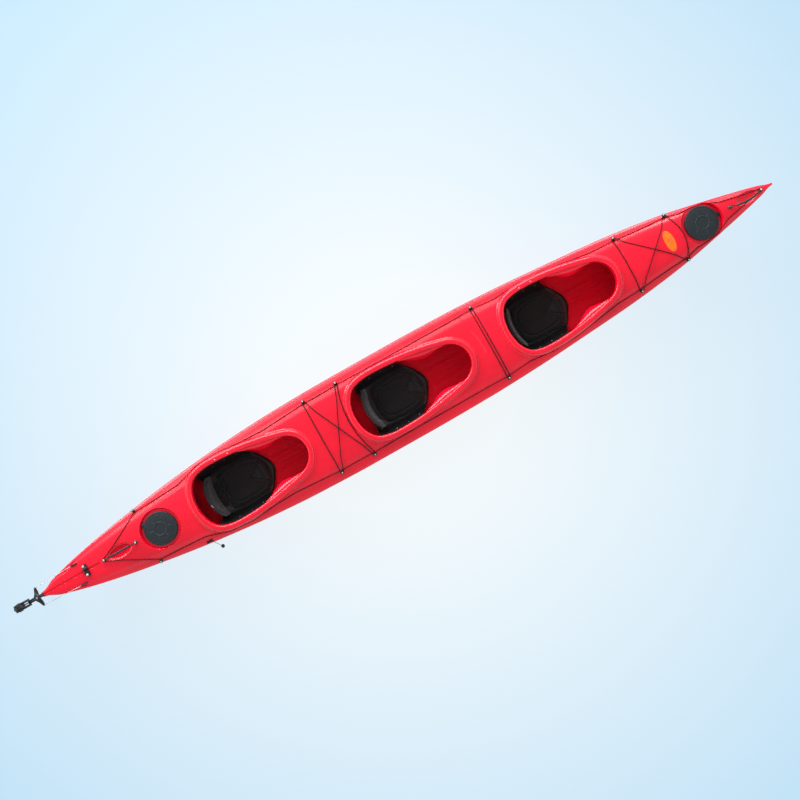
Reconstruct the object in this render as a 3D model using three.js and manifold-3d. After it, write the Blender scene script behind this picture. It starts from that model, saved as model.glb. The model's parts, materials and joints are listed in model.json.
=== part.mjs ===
// Three-seat sea kayak: hull and deck mouldings, three cockpits with seats and foot braces,
// two round hatches, deck lines and bungees, and a lifting rudder steered by cables.
// Millimetres. +X points to the bow, +Y to port, +Z up, with Z = 0 under the flat of the keel.
// Stations are measured from the stern tip and the whole kayak is centred on X at the end.

import * as THREE from 'three';
import { mergeVertices } from 'three/addons/utils/BufferGeometryUtils.js';
import Module from 'manifold-3d';

const wasm = await Module();
wasm.setup();

// Hull and deck form
const hullLength = 5800;
const hullBeam = 694;
const sheerHeight = 265;
const sternSheerRise = 190;
const bowSheerRise = 215;
const sternKeelRise = 330;
const bowKeelRise = 420;
const deckCrown = 65;
const hullWall = 5;
const joinGap = 0.3;
const cutOverrun = 2;
// Height that a cut through the top runs to
const clearHeight = 1000;

// Rudder reach aft of the stern tip
const rudderDrumStation = -169;
const rudderDrumRadius = 39;

const halfBeam = hullBeam / 2;
const frameCentre = (hullLength + rudderDrumStation - rudderDrumRadius) / 2;
const stationCount = 28;
const hullSidePoints = 7;
const midShare = 0.5;

// Half width along the length: share of the length, share of the half beam
const beamShares = [
  [0, 0.06], [0.017, 0.18], [0.069, 0.415], [0.138, 0.63], [0.207, 0.793], [0.276, 0.907],
  [0.345, 0.974], [0.42, 1], [0.5, 1], [0.586, 0.98], [0.655, 0.928], [0.724, 0.843],
  [0.793, 0.742], [0.862, 0.585], [0.931, 0.337], [0.983, 0.11], [1, 0.023],
];
// Rise of the sheer line at each end: share of the length, share of that end's rise
const sternSheerShares = [[0, 1], [0.034, 0.76], [0.069, 0.56], [0.155, 0.26], [0.26, 0.08], [0.42, 0]];
const bowSheerShares = [[0.58, 0], [0.741, 0.14], [0.845, 0.36], [0.931, 0.66], [1, 1]];
// Rise of the keel line at each end
const sternKeelShares = [
  [0, 1], [0.01, 0.72], [0.026, 0.46], [0.055, 0.24], [0.1, 0.11], [0.16, 0.04], [0.26, 0],
];
const bowKeelShares = [[0.72, 0], [0.828, 0.036], [0.897, 0.12], [0.948, 0.31], [0.983, 0.66], [1, 1]];
// Crown of the deck along the length: share of the length, share of the crown
const crownShares = [
  [0, 0.18], [0.056, 0.4], [0.12, 0.8], [0.2, 1], [0.8, 1], [0.9, 0.85], [0.97, 0.45], [1, 0.15],
];
// Deck section: share of the half width, share of the crown, with the bevel of the side deck
const deckShares = [[1, 0], [0.985, 0.12], [0.8, 0.46], [0.63, 0.75], [0.35, 0.93], [0, 1]];
const keelFlatShare = 0.3;
const keelEndFlatShare = 0.04;
const bilgeShare = 0.78;
const bilgeEndShare = 0.5;
const endSharpening = 4;

// Smooth value from a table of shares, with no overshoot between its points
function smoothShare(table, at) {
  if (at <= table[0][0]) return table[0][1];
  const last = table.length - 1;
  if (at >= table[last][0]) return table[last][1];
  const right = table.findIndex(([place]) => place > at);
  const slopeAt = (index) => {
    if (index === 0 || index === last) return 0;
    const before = (table[index][1] - table[index - 1][1]) / (table[index][0] - table[index - 1][0]);
    const after = (table[index + 1][1] - table[index][1]) / (table[index + 1][0] - table[index][0]);
    return before * after <= 0 ? 0 : 2 * before * after / (before + after);
  };
  const [x0, y0] = table[right - 1];
  const [x1, y1] = table[right];
  const gap = x1 - x0;
  const t = (at - x0) / gap;
  const ease = t * t * (3 - 2 * t);
  const pull = slopeAt(right - 1) * t * (1 - t) * (1 - t) - slopeAt(right) * t * t * (1 - t);
  return y0 + (y1 - y0) * ease + gap * pull;
}

// The lines of the boat at a station, a length from the stern tip
const along = (station) => THREE.MathUtils.clamp(station / hullLength, 0, 1);
const endness = (station) => Math.abs(2 * along(station) - 1) ** endSharpening;
const halfWidthAt = (station) => halfBeam * smoothShare(beamShares, along(station));
const sheerAt = (station) => sheerHeight + sternSheerRise * smoothShare(sternSheerShares, along(station))
  + bowSheerRise * smoothShare(bowSheerShares, along(station));
const keelAt = (station) => sternKeelRise * smoothShare(sternKeelShares, along(station))
  + bowKeelRise * smoothShare(bowKeelShares, along(station));
const crownAt = (station) => deckCrown * smoothShare(crownShares, along(station));

// Stations closer together at the two ends
const stations = Array.from({ length: stationCount }, (_, index) => {
  const t = index / (stationCount - 1);
  const bunched = midShare - Math.cos(Math.PI * t) / 2;
  return hullLength * (bunched * midShare + t * midShare);
});

// Meshes and solids

function orient(geometry) {
  const position = geometry.attributes.position;
  const index = geometry.index;
  const a = new THREE.Vector3();
  const b = new THREE.Vector3();
  const c = new THREE.Vector3();
  let volume = 0;
  for (let i = 0; i < index.count; i += 3) {
    a.fromBufferAttribute(position, index.getX(i));
    b.fromBufferAttribute(position, index.getX(i + 1));
    c.fromBufferAttribute(position, index.getX(i + 2));
    volume += a.dot(b.cross(c));
  }
  if (volume >= 0) return geometry;
  for (let i = 0; i < index.count; i += 3) {
    const first = index.getX(i);
    index.setX(i, index.getX(i + 1));
    index.setX(i + 1, first);
  }
  return geometry;
}

// A skin over rings of points. Open lofts get flat caps, drawn flat by the flatten function
const onYZ = (point) => new THREE.Vector2(point.y, point.z);
const onXY = (point) => new THREE.Vector2(point.x, point.y);
const onXZ = (point) => new THREE.Vector2(point.x, point.z);

function loft(rings, { flatten = onYZ, loop = false } = {}) {
  const size = rings[0].length;
  const positions = rings.flat().flatMap((point) => [point.x, point.y, point.z]);
  const faces = [];
  const spans = loop ? rings.length : rings.length - 1;
  for (let r = 0; r < spans; r += 1) {
    const next = (r + 1) % rings.length;
    for (let i = 0; i < size; i += 1) {
      const j = (i + 1) % size;
      faces.push(r * size + i, r * size + j, next * size + j);
      faces.push(r * size + i, next * size + j, next * size + i);
    }
  }
  if (!loop) {
    for (const ringIndex of [0, rings.length - 1]) {
      const outline = rings[ringIndex].map(flatten);
      const side = Math.sign(THREE.ShapeUtils.area(outline));
      for (const face of THREE.ShapeUtils.triangulateShape(outline, [])) {
        const follows = Math.sign(THREE.ShapeUtils.area(face.map((corner) => outline[corner]))) === side;
        const wound = follows === (ringIndex > 0) ? face : [face[1], face[0], face[2]];
        faces.push(...wound.map((corner) => ringIndex * size + corner));
      }
    }
  }
  const geometry = new THREE.BufferGeometry();
  geometry.setAttribute('position', new THREE.Float32BufferAttribute(positions, 3));
  geometry.setIndex(faces);
  return orient(geometry);
}

function toSolid(geometry) {
  const bare = geometry.clone();
  bare.deleteAttribute('normal');
  bare.deleteAttribute('uv');
  const merged = mergeVertices(bare);
  return new wasm.Manifold(new wasm.Mesh({
    numProp: 3,
    vertProperties: new Float32Array(merged.attributes.position.array),
    triVerts: new Uint32Array(merged.index.array),
  }));
}

function toGeometry(solid) {
  const mesh = solid.getMesh();
  const geometry = new THREE.BufferGeometry();
  geometry.setAttribute('position', new THREE.BufferAttribute(mesh.vertProperties, 3));
  geometry.setIndex(new THREE.BufferAttribute(mesh.triVerts, 1));
  return geometry;
}

const point = (x, y, z) => new THREE.Vector3(x, y, z);

// A block between two corners
function block(low, high) {
  const size = high.clone().sub(low);
  return new THREE.BoxGeometry(size.x, size.y, size.z).translate(
    (low.x + high.x) / 2, (low.y + high.y) / 2, (low.z + high.z) / 2);
}

// A revolved piece standing on +Z
function turned(profile, segments) {
  const outline = profile.map(([radius, height]) => new THREE.Vector2(radius, height));
  return orient(mergeVertices(bareOf(new THREE.LatheGeometry(outline, segments)))).rotateX(Math.PI / 2);
}

function bareOf(geometry) {
  geometry.deleteAttribute('normal');
  geometry.deleteAttribute('uv');
  return geometry;
}

// Sections of the hull and the deck, pulled in by an inset and lifted by a rise

function hullHalf(station, inset) {
  const width = Math.max(halfWidthAt(station) - inset, inset);
  const sharp = endness(station);
  const flat = width * THREE.MathUtils.lerp(keelFlatShare, keelEndFlatShare, sharp);
  const power = THREE.MathUtils.lerp(bilgeShare, 1 / bilgeEndShare / 2 + sharp / 4, sharp);
  const bottom = keelAt(station) + inset;
  const depth = sheerAt(station) - bottom;
  return Array.from({ length: hullSidePoints + 1 }, (_, index) => {
    const angle = (index / hullSidePoints) * Math.PI / 2;
    const out = flat + (width - flat) * Math.sin(angle) ** power;
    return [out, bottom + depth * (1 - Math.cos(angle) ** power)];
  });
}

function deckHalf(station, inset, rise) {
  const width = Math.max(halfWidthAt(station) - inset, inset);
  const low = sheerAt(station) + rise;
  const crown = Math.max(crownAt(station) - inset, inset / 2);
  return deckShares.map(([across, up]) => [width * across, low + crown * up]);
}

const mirrored = (station, half) => [
  ...half.map(([y, z]) => point(station, y, z)),
  ...half.toReversed().map(([y, z]) => point(station, -y, z)),
];

// A solid below the sheer, and above it, each reaching past the sheer by an overrun
function hullBody(inset, over, places = stations) {
  return toSolid(loft(places.map((station) => {
    const half = hullHalf(station, inset);
    const [edge] = half[half.length - 1];
    return mirrored(station, over ? [...half, [edge, sheerAt(station) + over]] : half);
  })));
}

function deckBody(inset, under, rise, places = stations) {
  return toSolid(loft(places.map((station) => {
    const half = deckHalf(station, inset, rise);
    const [edge] = half[0];
    const low = under ? [[edge, sheerAt(station) + rise - under]] : [];
    const ring = [...low, ...half.slice(0, -1)];
    return [
      ...ring.map(([y, z]) => point(station, y, z)),
      point(station, 0, half[half.length - 1][1]),
      ...ring.toReversed().map(([y, z]) => point(station, -y, z)),
    ];
  })));
}

// Height of the deck and its slope across, as the faceted skin has them
function deckHeight(station, y) {
  const right = Math.max(1, stations.findIndex((place) => place >= station));
  const share = (station - stations[right - 1]) / (stations[right] - stations[right - 1]);
  const near = deckHalf(stations[right - 1], 0, joinGap);
  const far = deckHalf(stations[right], 0, joinGap);
  const section = near.map(([across, up], index) => [
    THREE.MathUtils.lerp(across, far[index][0], share), THREE.MathUtils.lerp(up, far[index][1], share)]);
  const away = Math.min(Math.abs(y), section[0][0]);
  const outer = Math.max(0, section.findIndex(([across]) => across <= away) - 1);
  const [y1, z1] = section[outer];
  const [y0, z0] = section[outer + 1];
  return z0 + (z1 - z0) * ((away - y0) / (y1 - y0));
}
const ridgeAt = (station) => deckHeight(station, 0);

// Foot brace rails: from the back of the seat to their start, and their length
const railReach = 880;
const railLength = 290;
const railStart = (front) => front - seatLength + railReach;

// Cockpits: share of the hull length where each opening starts, how long it is, and how far
// ahead of its aft end the seat starts
const seatLength = 500;
const cockpitStartShares = [0.2069, 0.42828, 0.64379];
const sternCockpitLength = 878;
const middleCockpitLength = 920;
const bowCockpitLength = 838;
const sternSeatSetBack = 66;
const middleSeatSetBack = 84;
const bowSeatSetBack = 25;
const cockpits = [
  ['stern', sternCockpitLength, sternSeatSetBack],
  ['middle', middleCockpitLength, middleSeatSetBack],
  ['bow', bowCockpitLength, bowSeatSetBack],
].map(([name, length, setBack], index) => {
  const aft = hullLength * cockpitStartShares[index];
  return { name, aft, fore: aft + length, front: aft + setBack + seatLength };
});
const cockpitHalfWidth = 220;
const lipWidth = 40;
const lipRise = 22;
const lipSag = 12;
const lipRound = 12;
const lipEdgeDrop = 20;
const skirtDepth = 58;
const thighReach = 42;
const thighDrop = 46;
const thighWall = 6;
const outlinePoints = 24;
const thighSpanShares = [0.5, 0.86];
const thighSteps = 7;
// Half outline of a cockpit: share of its length, share of its half width
const cockpitShares = [
  [0, 0], [0.008, 0.32], [0.033, 0.6], [0.085, 0.85], [0.17, 0.97], [0.31, 1], [0.53, 0.93],
  [0.8, 0.73], [0.92, 0.57], [0.98, 0.32], [1, 0],
];

// Outline points and outward directions around a cockpit
function cockpitOutline({ aft, fore }) {
  const half = cockpitShares.map(([length, width]) => (
    point(aft + (fore - aft) * length, cockpitHalfWidth * width, 0)));
  const other = half.slice(1, -1).toReversed().map(({ x, y }) => point(x, -y, 0));
  const curve = new THREE.CatmullRomCurve3([...half, ...other], true, 'centripetal');
  return Array.from({ length: outlinePoints }, (_, index) => {
    const at = curve.getPointAt(index / outlinePoints);
    const run = curve.getTangentAt(index / outlinePoints);
    return { at, out: point(-run.y, run.x, 0) };
  });
}

// Half width of a cockpit opening at a station
const openingHalfWidth = ({ aft, fore }, station) => (
  cockpitHalfWidth * smoothShare(cockpitShares, (station - aft) / (fore - aft)));

const lipTop = (at) => ridgeAt(at.x) + lipRise - lipSag * (at.y / cockpitHalfWidth) ** 2;

// A ring swept round a cockpit from a section of [outward, up] points
function cockpitRing(outline, section) {
  return toSolid(loft(outline.map(({ at, out }) => section.map(([across, up]) => (
    point(at.x + out.x * across, at.y + out.y * across, lipTop(at) + up)))), { loop: true }));
}

function cockpitPrism(outline, across, low, high) {
  const ringAt = (z) => outline.map(({ at, out }) => point(at.x + out.x * across, at.y + out.y * across, z));
  return toSolid(loft([ringAt(low), ringAt(high)], { flatten: onXY }));
}

const lipBase = lipRise + deckCrown;
const lipSection = [
  [-cutOverrun, -lipBase], [-cutOverrun, -lipRound / 2], [lipRound / 4, -lipRound / 8], [lipRound, 0],
  [lipWidth - lipRound * 2, 0], [lipWidth - lipRound / 2, -lipRound / 2], [lipWidth, -lipEdgeDrop],
  [lipWidth, -lipBase],
];
const lipHollow = [
  [hullWall, -lipBase - cutOverrun], [hullWall, -lipRound], [lipWidth - hullWall, -lipRound],
  [lipWidth - hullWall, -lipBase - cutOverrun],
];
const skirtSection = [
  [-cutOverrun, -skirtDepth], [-cutOverrun, -hullWall], [hullWall, -hullWall], [hullWall, -skirtDepth],
];

// The flange that a knee braces against, turned in and down from the coaming on one side
function thighBrace(cockpit, side) {
  const rings = Array.from({ length: thighSteps + 1 }, (_, index) => {
    const share = index / thighSteps;
    const length = THREE.MathUtils.lerp(thighSpanShares[0], thighSpanShares[1], share);
    const x = THREE.MathUtils.lerp(cockpit.aft, cockpit.fore, length);
    const y = side * cockpitHalfWidth * smoothShare(cockpitShares, length);
    const swell = Math.sin(Math.PI * share) ** 2;
    const top = lipTop(point(x, y, 0)) - lipRound;
    const reach = y - side * (hullWall + thighReach * swell);
    const drop = top - thighDrop * swell;
    const root = y + side * hullWall / 2;
    return [point(x, root, top), point(x, (root + reach) / 2, top + (thighWall - thighDrop * swell) / 4),
      point(x, reach, drop), point(x, reach, drop - thighWall),
      point(x, (root + reach) / 2, top - thighDrop * swell / 4 - thighWall * 5 / 2),
      point(x, root, top - thighWall * 3)];
  });
  return toSolid(loft(rings));
}

// Recesses moulded into the deck
const sternHatchShare = 0.1557;
const bowHatchShare = 0.90828;
const hatches = [
  { name: 'stern', station: hullLength * sternHatchShare },
  { name: 'bow', station: hullLength * bowHatchShare },
];
const hatchRadius = 120;
const hatchRecessGap = 22;
const hatchRecessDepth = 24;
const hatchMouthRadius = 100;
const roundSegments = 20;

const grooveEnd = 424;
const grooveWidth = 14;
const grooveDepth = 9;

const sternGripShare = 0.0798;
const bowGripShare = 0.94397;
const sternGripLength = 247;
const bowGripLength = 227;
const grips = [
  ['stern', hullLength * sternGripShare, sternGripLength],
  ['bow', hullLength * bowGripShare, bowGripLength],
].map(([name, from, length]) => ({ name, from, to: from + length }));
const gripDishDepth = 20;
const gripDishWidthShare = 0.2;
const gripDishLengthShare = 0.38;

// A dish for the fingers under a handle: half an egg, long way fore and aft
function gripDish({ from, to }, grow) {
  const middle = (from + to) / 2;
  const shape = new THREE.SphereGeometry(1, 10, 6);
  const long = (to - from) * gripDishLengthShare + grow;
  const wide = (to - from) * gripDishWidthShare + grow;
  shape.scale(long, wide, gripDishDepth + grow);
  return toSolid(orient(mergeVertices(bareOf(shape))).translate(middle, 0, ridgeAt(middle)));
}

const hatchFloor = ({ station }) => Math.min(
  ridgeAt(station - hatchRadius), ridgeAt(station + hatchRadius)) - hatchRecessDepth;

function hatchRecess(hatch, grow) {
  const floor = hatchFloor(hatch) - grow;
  const radius = hatchRadius + hatchRecessGap + grow;
  const top = floor + hatchRecessDepth + lipBase;
  return toSolid(turned([[0, floor], [radius, floor], [radius, top], [0, top]], roundSegments)
    .translate(hatch.station, 0, 0));
}

function bladeGroove(grow) {
  const places = stations.filter((station) => station < grooveEnd);
  const rings = [-cutOverrun, ...places.slice(1), grooveEnd + grow].map((station) => {
    const low = ridgeAt(Math.max(station, 0)) - grooveDepth - grow;
    const half = grooveWidth / 2 + grow;
    return [point(station, -half, low), point(station, half, low),
      point(station, half, low + lipBase), point(station, -half, low + lipBase)];
  });
  return toSolid(loft(rings));
}

function makeDeck() {
  let outer = deckBody(0, 0, joinGap);
  let inner = deckBody(hullWall, lipBase, joinGap, stations.slice(2, -2));
  const dishes = [(grow) => bladeGroove(grow), ...grips.map((grip) => (grow) => gripDish(grip, grow)),
    ...hatches.map((hatch) => (grow) => hatchRecess(hatch, grow))];
  for (const dish of dishes) {
    outer = outer.subtract(dish(0));
    inner = inner.subtract(dish(hullWall));
  }
  for (const cockpit of cockpits) {
    const outline = cockpitOutline(cockpit);
    outer = outer.add(cockpitRing(outline, lipSection));
    inner = inner.add(cockpitRing(outline, lipHollow)).subtract(cockpitRing(outline, skirtSection));
  }
  let shell = outer.subtract(inner);
  for (const cockpit of cockpits) {
    shell = shell.subtract(cockpitPrism(cockpitOutline(cockpit), 0, 0, clearHeight));
    for (const side of [1, -1]) shell = shell.add(thighBrace(cockpit, side));
  }
  for (const hatch of hatches) {
    const mouth = turned([[0, 0], [hatchMouthRadius + joinGap + hullWall, 0],
      [hatchMouthRadius + joinGap + hullWall, clearHeight], [0, clearHeight]], roundSegments);
    shell = shell.subtract(toSolid(mouth.translate(hatch.station, 0, 0)));
  }
  return shell;
}

function makeHull() {
  return hullBody(0, 0).subtract(hullBody(hullWall, cutOverrun, stations.slice(2, -2)));
}

// What is cut to fit inside the shells

const innerStations = stations.slice(2, -2);
const interior = (gap) => hullBody(hullWall + gap, 0, innerStations).add(
  deckBody(hullWall + gap, cutOverrun, joinGap, innerStations));

// Width of a half section at a height
function widthAtHeight(half, height) {
  const above = half.findIndex(([, z]) => z >= height);
  const [y0, z0] = half[above - 1];
  const [y1, z1] = half[above];
  return y0 + (y1 - y0) * (height - z0) / (z1 - z0);
}

// Bulkheads of foam
const bulkheadThickness = 30;
const sternBulkheadGap = 80;
const bowBulkheadGap = 25;
const [sternCockpit, , bowCockpit] = cockpits;
const bulkheads = [
  { name: 'stern', station: sternCockpit.aft - sternBulkheadGap - bulkheadThickness / 2 },
  {
    name: 'bow',
    station: railStart(bowCockpit.front) + railLength + bowBulkheadGap + bulkheadThickness / 2,
  },
];

function makeBulkhead({ station }) {
  const slab = block(point(station - bulkheadThickness / 2, -halfBeam, 0),
    point(station + bulkheadThickness / 2, halfBeam, sheerHeight + sternSheerRise + bowSheerRise));
  return interior(joinGap).intersect(toSolid(slab));
}

// Hatch rims and covers
const rimFlangeRadius = 114;
const rimWall = 4;
const rimHeight = 13;
const rimNeckDepth = 14;
const coverSkirt = 22;
const coverWall = 4;
const coverDome = 5;
const coverRingRadius = 44;
const coverRingWidth = 6;
const coverRingHeight = 2.5;
const coverTabClearance = 4;
const coverTabReach = hatchRecessGap - coverTabClearance;
const coverTabWidth = 34;

function makeHatchRim(hatch) {
  const floor = hatchFloor(hatch) + joinGap;
  const bore = hatchMouthRadius - rimWall;
  const profile = [
    [bore, floor - rimNeckDepth], [hatchMouthRadius, floor - rimNeckDepth], [hatchMouthRadius, floor],
    [rimFlangeRadius, floor], [rimFlangeRadius, floor + rimWall],
    [hatchMouthRadius + rimWall, floor + rimWall], [hatchMouthRadius + rimWall, floor + rimHeight],
    [bore, floor + rimHeight], [bore, floor - rimNeckDepth],
  ];
  return turned(profile, roundSegments).translate(hatch.station, 0, 0);
}

function makeHatchCover(hatch, tabAngle) {
  const low = hatchFloor(hatch) + joinGap * 2;
  const top = low + coverSkirt;
  const under = hatchFloor(hatch) + joinGap * 2 + rimHeight;
  const profile = [
    [0, under], [hatchMouthRadius + rimWall + joinGap, under], [rimFlangeRadius + joinGap, under - rimWall],
    [rimFlangeRadius + joinGap, low], [hatchRadius, low], [hatchRadius, top - coverWall],
    [hatchRadius - coverWall, top], [coverRingRadius + coverRingWidth, top + coverDome],
    [coverRingRadius + coverRingWidth, top + coverDome + coverRingHeight],
    [coverRingRadius, top + coverDome + coverRingHeight], [coverRingRadius, top + coverDome],
    [0, top + coverDome],
  ];
  const tab = block(point(hatchRadius - coverWall, -coverTabWidth / 2, top - coverWall * 2),
    point(hatchRadius + coverTabReach, coverTabWidth / 2, top - coverWall));
  const lid = toSolid(turned(profile, roundSegments)).add(toSolid(tab));
  return toGeometry(lid).rotateZ(tabAngle).translate(hatch.station, 0, 0);
}

// Seats: a moulded pan hung inside each coaming, a sewn pad and a tilting backrest
const panWall = 5;
const panFloor = 24;
const panCheekDrop = 34;
const panFrontWidth = 300;
const panSteps = 7;
const padThickness = 40;
const padHalfWidth = 168;
const padSeamDepth = 6;
const padEndGap = 28;
const padCells = [12, 10];
const padCornerShare = 0.2;
const backHingeForward = 34;
const backHingeHeight = 112;
const backHeight = 158;
const backThickness = 26;
const backHalfWidth = 158;
const backWingSweep = 46;
const backLean = 0.2;
const backPinRadius = 5;
const backPinGap = 0.1;
const backSteps = 12;

// Half section of a pan: how far in from its widest, and height as a share of the cheek
const panShares = [[0.5, 0], [0.24, 0.1], [0.09, 0.36], [0.02, 0.72], [0, 1]];

function panHalf(cockpit, station, inset) {
  const width = openingHalfWidth(cockpit, station) + cutOverrun - inset;
  const top = lipTop(point(station, cockpitHalfWidth, 0)) - panCheekDrop;
  const low = panFloor + inset;
  const half = panShares.map(([inward, up]) => [width - cockpitHalfWidth * inward, low + (top - low) * up]);
  return inset ? [...half, [width, top + cutOverrun]] : half;
}

const panPlaces = (front, over) => Array.from({ length: panSteps + 1 }, (_, index) => (
  THREE.MathUtils.lerp(front - seatLength - over, front + over, index / panSteps)));

function panBody(cockpit, front, inset) {
  const places = panPlaces(front, inset ? cutOverrun : 0);
  return toSolid(loft(places.map((station) => mirrored(station, panHalf(cockpit, station, inset)))));
}

// Inner width of a pan, as its faceted skin has it
function panWidthAt(cockpit, front, station, height) {
  const places = panPlaces(front, cutOverrun);
  const right = places.findIndex((place) => place >= station);
  const [near, far] = [places[right - 1], places[right]];
  const widths = [near, far].map((place) => widthAtHeight(panHalf(cockpit, place, panWall), height));
  return THREE.MathUtils.lerp(...widths, (station - near) / (far - near));
}

function makeSeatPan(cockpit, front) {
  const outline = cockpitOutline(cockpit);
  const nose = new THREE.CylinderGeometry(1, 1, clearHeight, 32).rotateX(Math.PI / 2);
  nose.scale(seatLength, panFrontWidth, 1).translate(front - seatLength, 0, 0);
  return panBody(cockpit, front, 0)
    .intersect(cockpitPrism(outline, -joinGap, 0, clearHeight))
    .intersect(toSolid(nose))
    .subtract(panBody(cockpit, front, panWall));
}

function makeSeatPad(cockpit, front) {
  const [rows, columns] = padCells;
  const low = panFloor + panWall + joinGap;
  const middle = front - seatLength / 2 + backHingeForward / 2;
  const halfLength = seatLength / 2 - padEndGap - backHingeForward / 2;
  const vertex = (row, column, upper) => {
    const u = 2 * row / rows - 1;
    const v = 2 * column / columns - 1;
    const x = middle + halfLength * (u - padCornerShare * v * v * Math.max(u, 0))
      * Math.sqrt(1 - padCornerShare * v * v);
    const y = padHalfWidth * v * Math.sqrt(1 - padCornerShare * u * u);
    const crown = (1 - u ** 6) * (1 - v ** 6);
    const seam = column === columns / 2 ? padSeamDepth : 0;
    const side = padThickness * (1 + v * v / 2) * crown;
    return point(x, y, upper && crown > 0 ? low + side - seam : low);
  };
  const rings = Array.from({ length: rows - 1 }, (_, index) => {
    const row = index + 1;
    const across = Array.from({ length: columns + 1 }, (__, column) => column);
    return [...across.map((column) => vertex(row, column, true)),
      ...across.slice(1, -1).toReversed().map((column) => vertex(row, column, false))];
  });
  return toSolid(loft(rings)).intersect(panBody(cockpit, front, panWall + joinGap));
}

// Section of the back band: share of half its thickness, share of half its height
const backSectionShares = [
  [-1, -0.8], [-0.7, -1], [0.7, -1], [1, -0.8], [1.2, 0], [1, 0.8], [0.7, 1], [-0.7, 1], [-1, 0.8],
];
function makeBackrest(cockpit, front) {
  const axisStation = front - seatLength + backHingeForward;
  const rings = Array.from({ length: backSteps + 1 }, (_, index) => {
    const v = 2 * index / backSteps - 1;
    const y = backHalfWidth * v;
    const forward = axisStation + backWingSweep * v * v;
    const low = backHingeHeight - backPinRadius * 2 + backHeight * v * v * padCornerShare;
    const high = backHingeHeight + backHeight * (1 - padCornerShare * v ** 4);
    const thick = backThickness * (1 - midShare * v ** 6) / 2;
    const middle = (low + high) / 2;
    return backSectionShares.map(([across, up]) => {
      const z = middle + up * (high - low) / 2;
      return point(forward + across * thick - (z - backHingeHeight) * backLean, y, z);
    });
  });
  const reach = Math.min(...[-backPinRadius, backPinRadius].map((shift) => (
    panWidthAt(cockpit, front, axisStation + shift, backHingeHeight - backPinRadius)))) - backPinGap;
  const pin = new THREE.CylinderGeometry(backPinRadius, backPinRadius, reach * 2, 10)
    .translate(axisStation, 0, backHingeHeight);
  return toSolid(loft(rings, { flatten: onXZ })).add(toSolid(pin));
}

// Foot braces: a rail on each side of the footwell and a pedal that slides on it
const railHeight = 96;
const railDepth = 18;
const railThickness = 10;
const pedalThickness = 12;
const pedalWidth = 74;
const pedalHeight = 118;
const pedalDrop = 4;
const pedalShoe = 56;
const pedalRibCount = 4;
const pedalRibDepth = 3;

const railFace = (front) => Math.min(...[0, railLength].map((run) => widthAtHeight(
  hullHalf(railStart(front) + run, hullWall + joinGap), railHeight))) - railThickness;

function makeRail(front, side) {
  const face = railFace(front);
  const start = railStart(front);
  const bar = block(point(start, face, railHeight),
    point(start + railLength, halfBeam, railHeight + railDepth));
  const solid = hullBody(hullWall + joinGap, 0, innerStations).intersect(toSolid(bar));
  const geometry = toGeometry(solid);
  return side > 0 ? geometry : orient(geometry.scale(1, -1, 1));
}

function makePedal(front, side) {
  const face = railFace(front) - joinGap;
  const middle = railStart(front) + railLength / 2;
  const bottom = railHeight - pedalDrop;
  let pedal = toSolid(block(point(middle - pedalShoe / 2, face - pedalThickness, railHeight),
    point(middle + pedalShoe / 2, face, railHeight + railDepth)));
  pedal = pedal.add(toSolid(block(point(middle - pedalThickness / 2, face - pedalWidth, bottom),
    point(middle + pedalThickness / 2, face - cutOverrun, bottom + pedalHeight))));
  for (let rib = 0; rib < pedalRibCount; rib += 1) {
    const z = bottom + pedalHeight * (rib + midShare) / pedalRibCount;
    pedal = pedal.add(toSolid(block(
      point(middle - pedalThickness / 2 - pedalRibDepth, face - pedalWidth + cutOverrun, z - pedalRibDepth),
      point(middle, face - pedalThickness, z + pedalRibDepth))));
  }
  const geometry = toGeometry(pedal);
  return side > 0 ? geometry : orient(geometry.scale(1, -1, 1));
}

// Deck fittings, cords and handles

const fittingRadius = 14;
const fittingNeck = 6.5;
const fittingFlange = 3;
const fittingHeight = 24;
const fittingScrew = 5;
const fittingSegments = 8;
const fittingGap = 0.5;
const lineRadius = 2.5;
const bungeeRadius = 3;
const lineLevel = 7.5;
const bungeeLevel = 17;
const cordClearance = 1;
const cordSides = 8;
const cordLift = 3;
const slopeReach = 5;

// Fittings in pairs: share of the hull length, share of the half width there
const fittingShares = [
  [0.13621, 0.9127], [0.38103, 0.8228], [0.42707, 0.8213],
  [0.61672, 0.8388], [0.8081, 0.828], [0.87414, 0.893],
];
const fittingPlaces = fittingShares.map(([run, out]) => (
  [hullLength * run, halfWidthAt(hullLength * run) * out]));

// A frame standing square to the deck at a place
function deckFrame(station, y) {
  const span = 2 * slopeReach;
  const rise = (deckHeight(station + slopeReach, y) - deckHeight(station - slopeReach, y)) / span;
  const tilt = (deckHeight(station, y + slopeReach) - deckHeight(station, y - slopeReach)) / span;
  const up = point(-rise, y === 0 ? 0 : -tilt, 1).normalize();
  const fore = point(1, 0, rise).normalize();
  const side = new THREE.Vector3().crossVectors(up, fore);
  const foot = deckHeight(station, y) + fittingGap;
  return new THREE.Matrix4().makeBasis(fore, side, up).setPosition(station, y, foot);
}

// A screwed spool that holds a cord between its two flanges
function spool(grow = 0) {
  const radius = fittingRadius + grow;
  return turned([
    [0, 0], [radius, 0], [radius, fittingFlange], [fittingNeck, fittingFlange + fittingFlange / 2],
    [fittingNeck, fittingHeight - fittingFlange],
    [radius - fittingFlange, fittingHeight - fittingFlange / 2],
    [radius - fittingFlange, fittingHeight], [fittingScrew, fittingHeight + fittingFlange],
    [0, fittingHeight + fittingFlange],
  ], fittingSegments);
}

// Points of a cord turning round a spool, from one angle to another, at a level above the deck
function turnRound([station, y], from, to, level, radius, steps = 3) {
  const place = deckFrame(station, y);
  const reach = fittingNeck + radius + cordClearance;
  return Array.from({ length: steps + 1 }, (_, index) => {
    const angle = THREE.MathUtils.degToRad(THREE.MathUtils.lerp(from, to, index / Math.max(steps, 1)));
    return point(Math.cos(angle) * reach, Math.sin(angle) * reach, level).applyMatrix4(place);
  });
}

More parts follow.
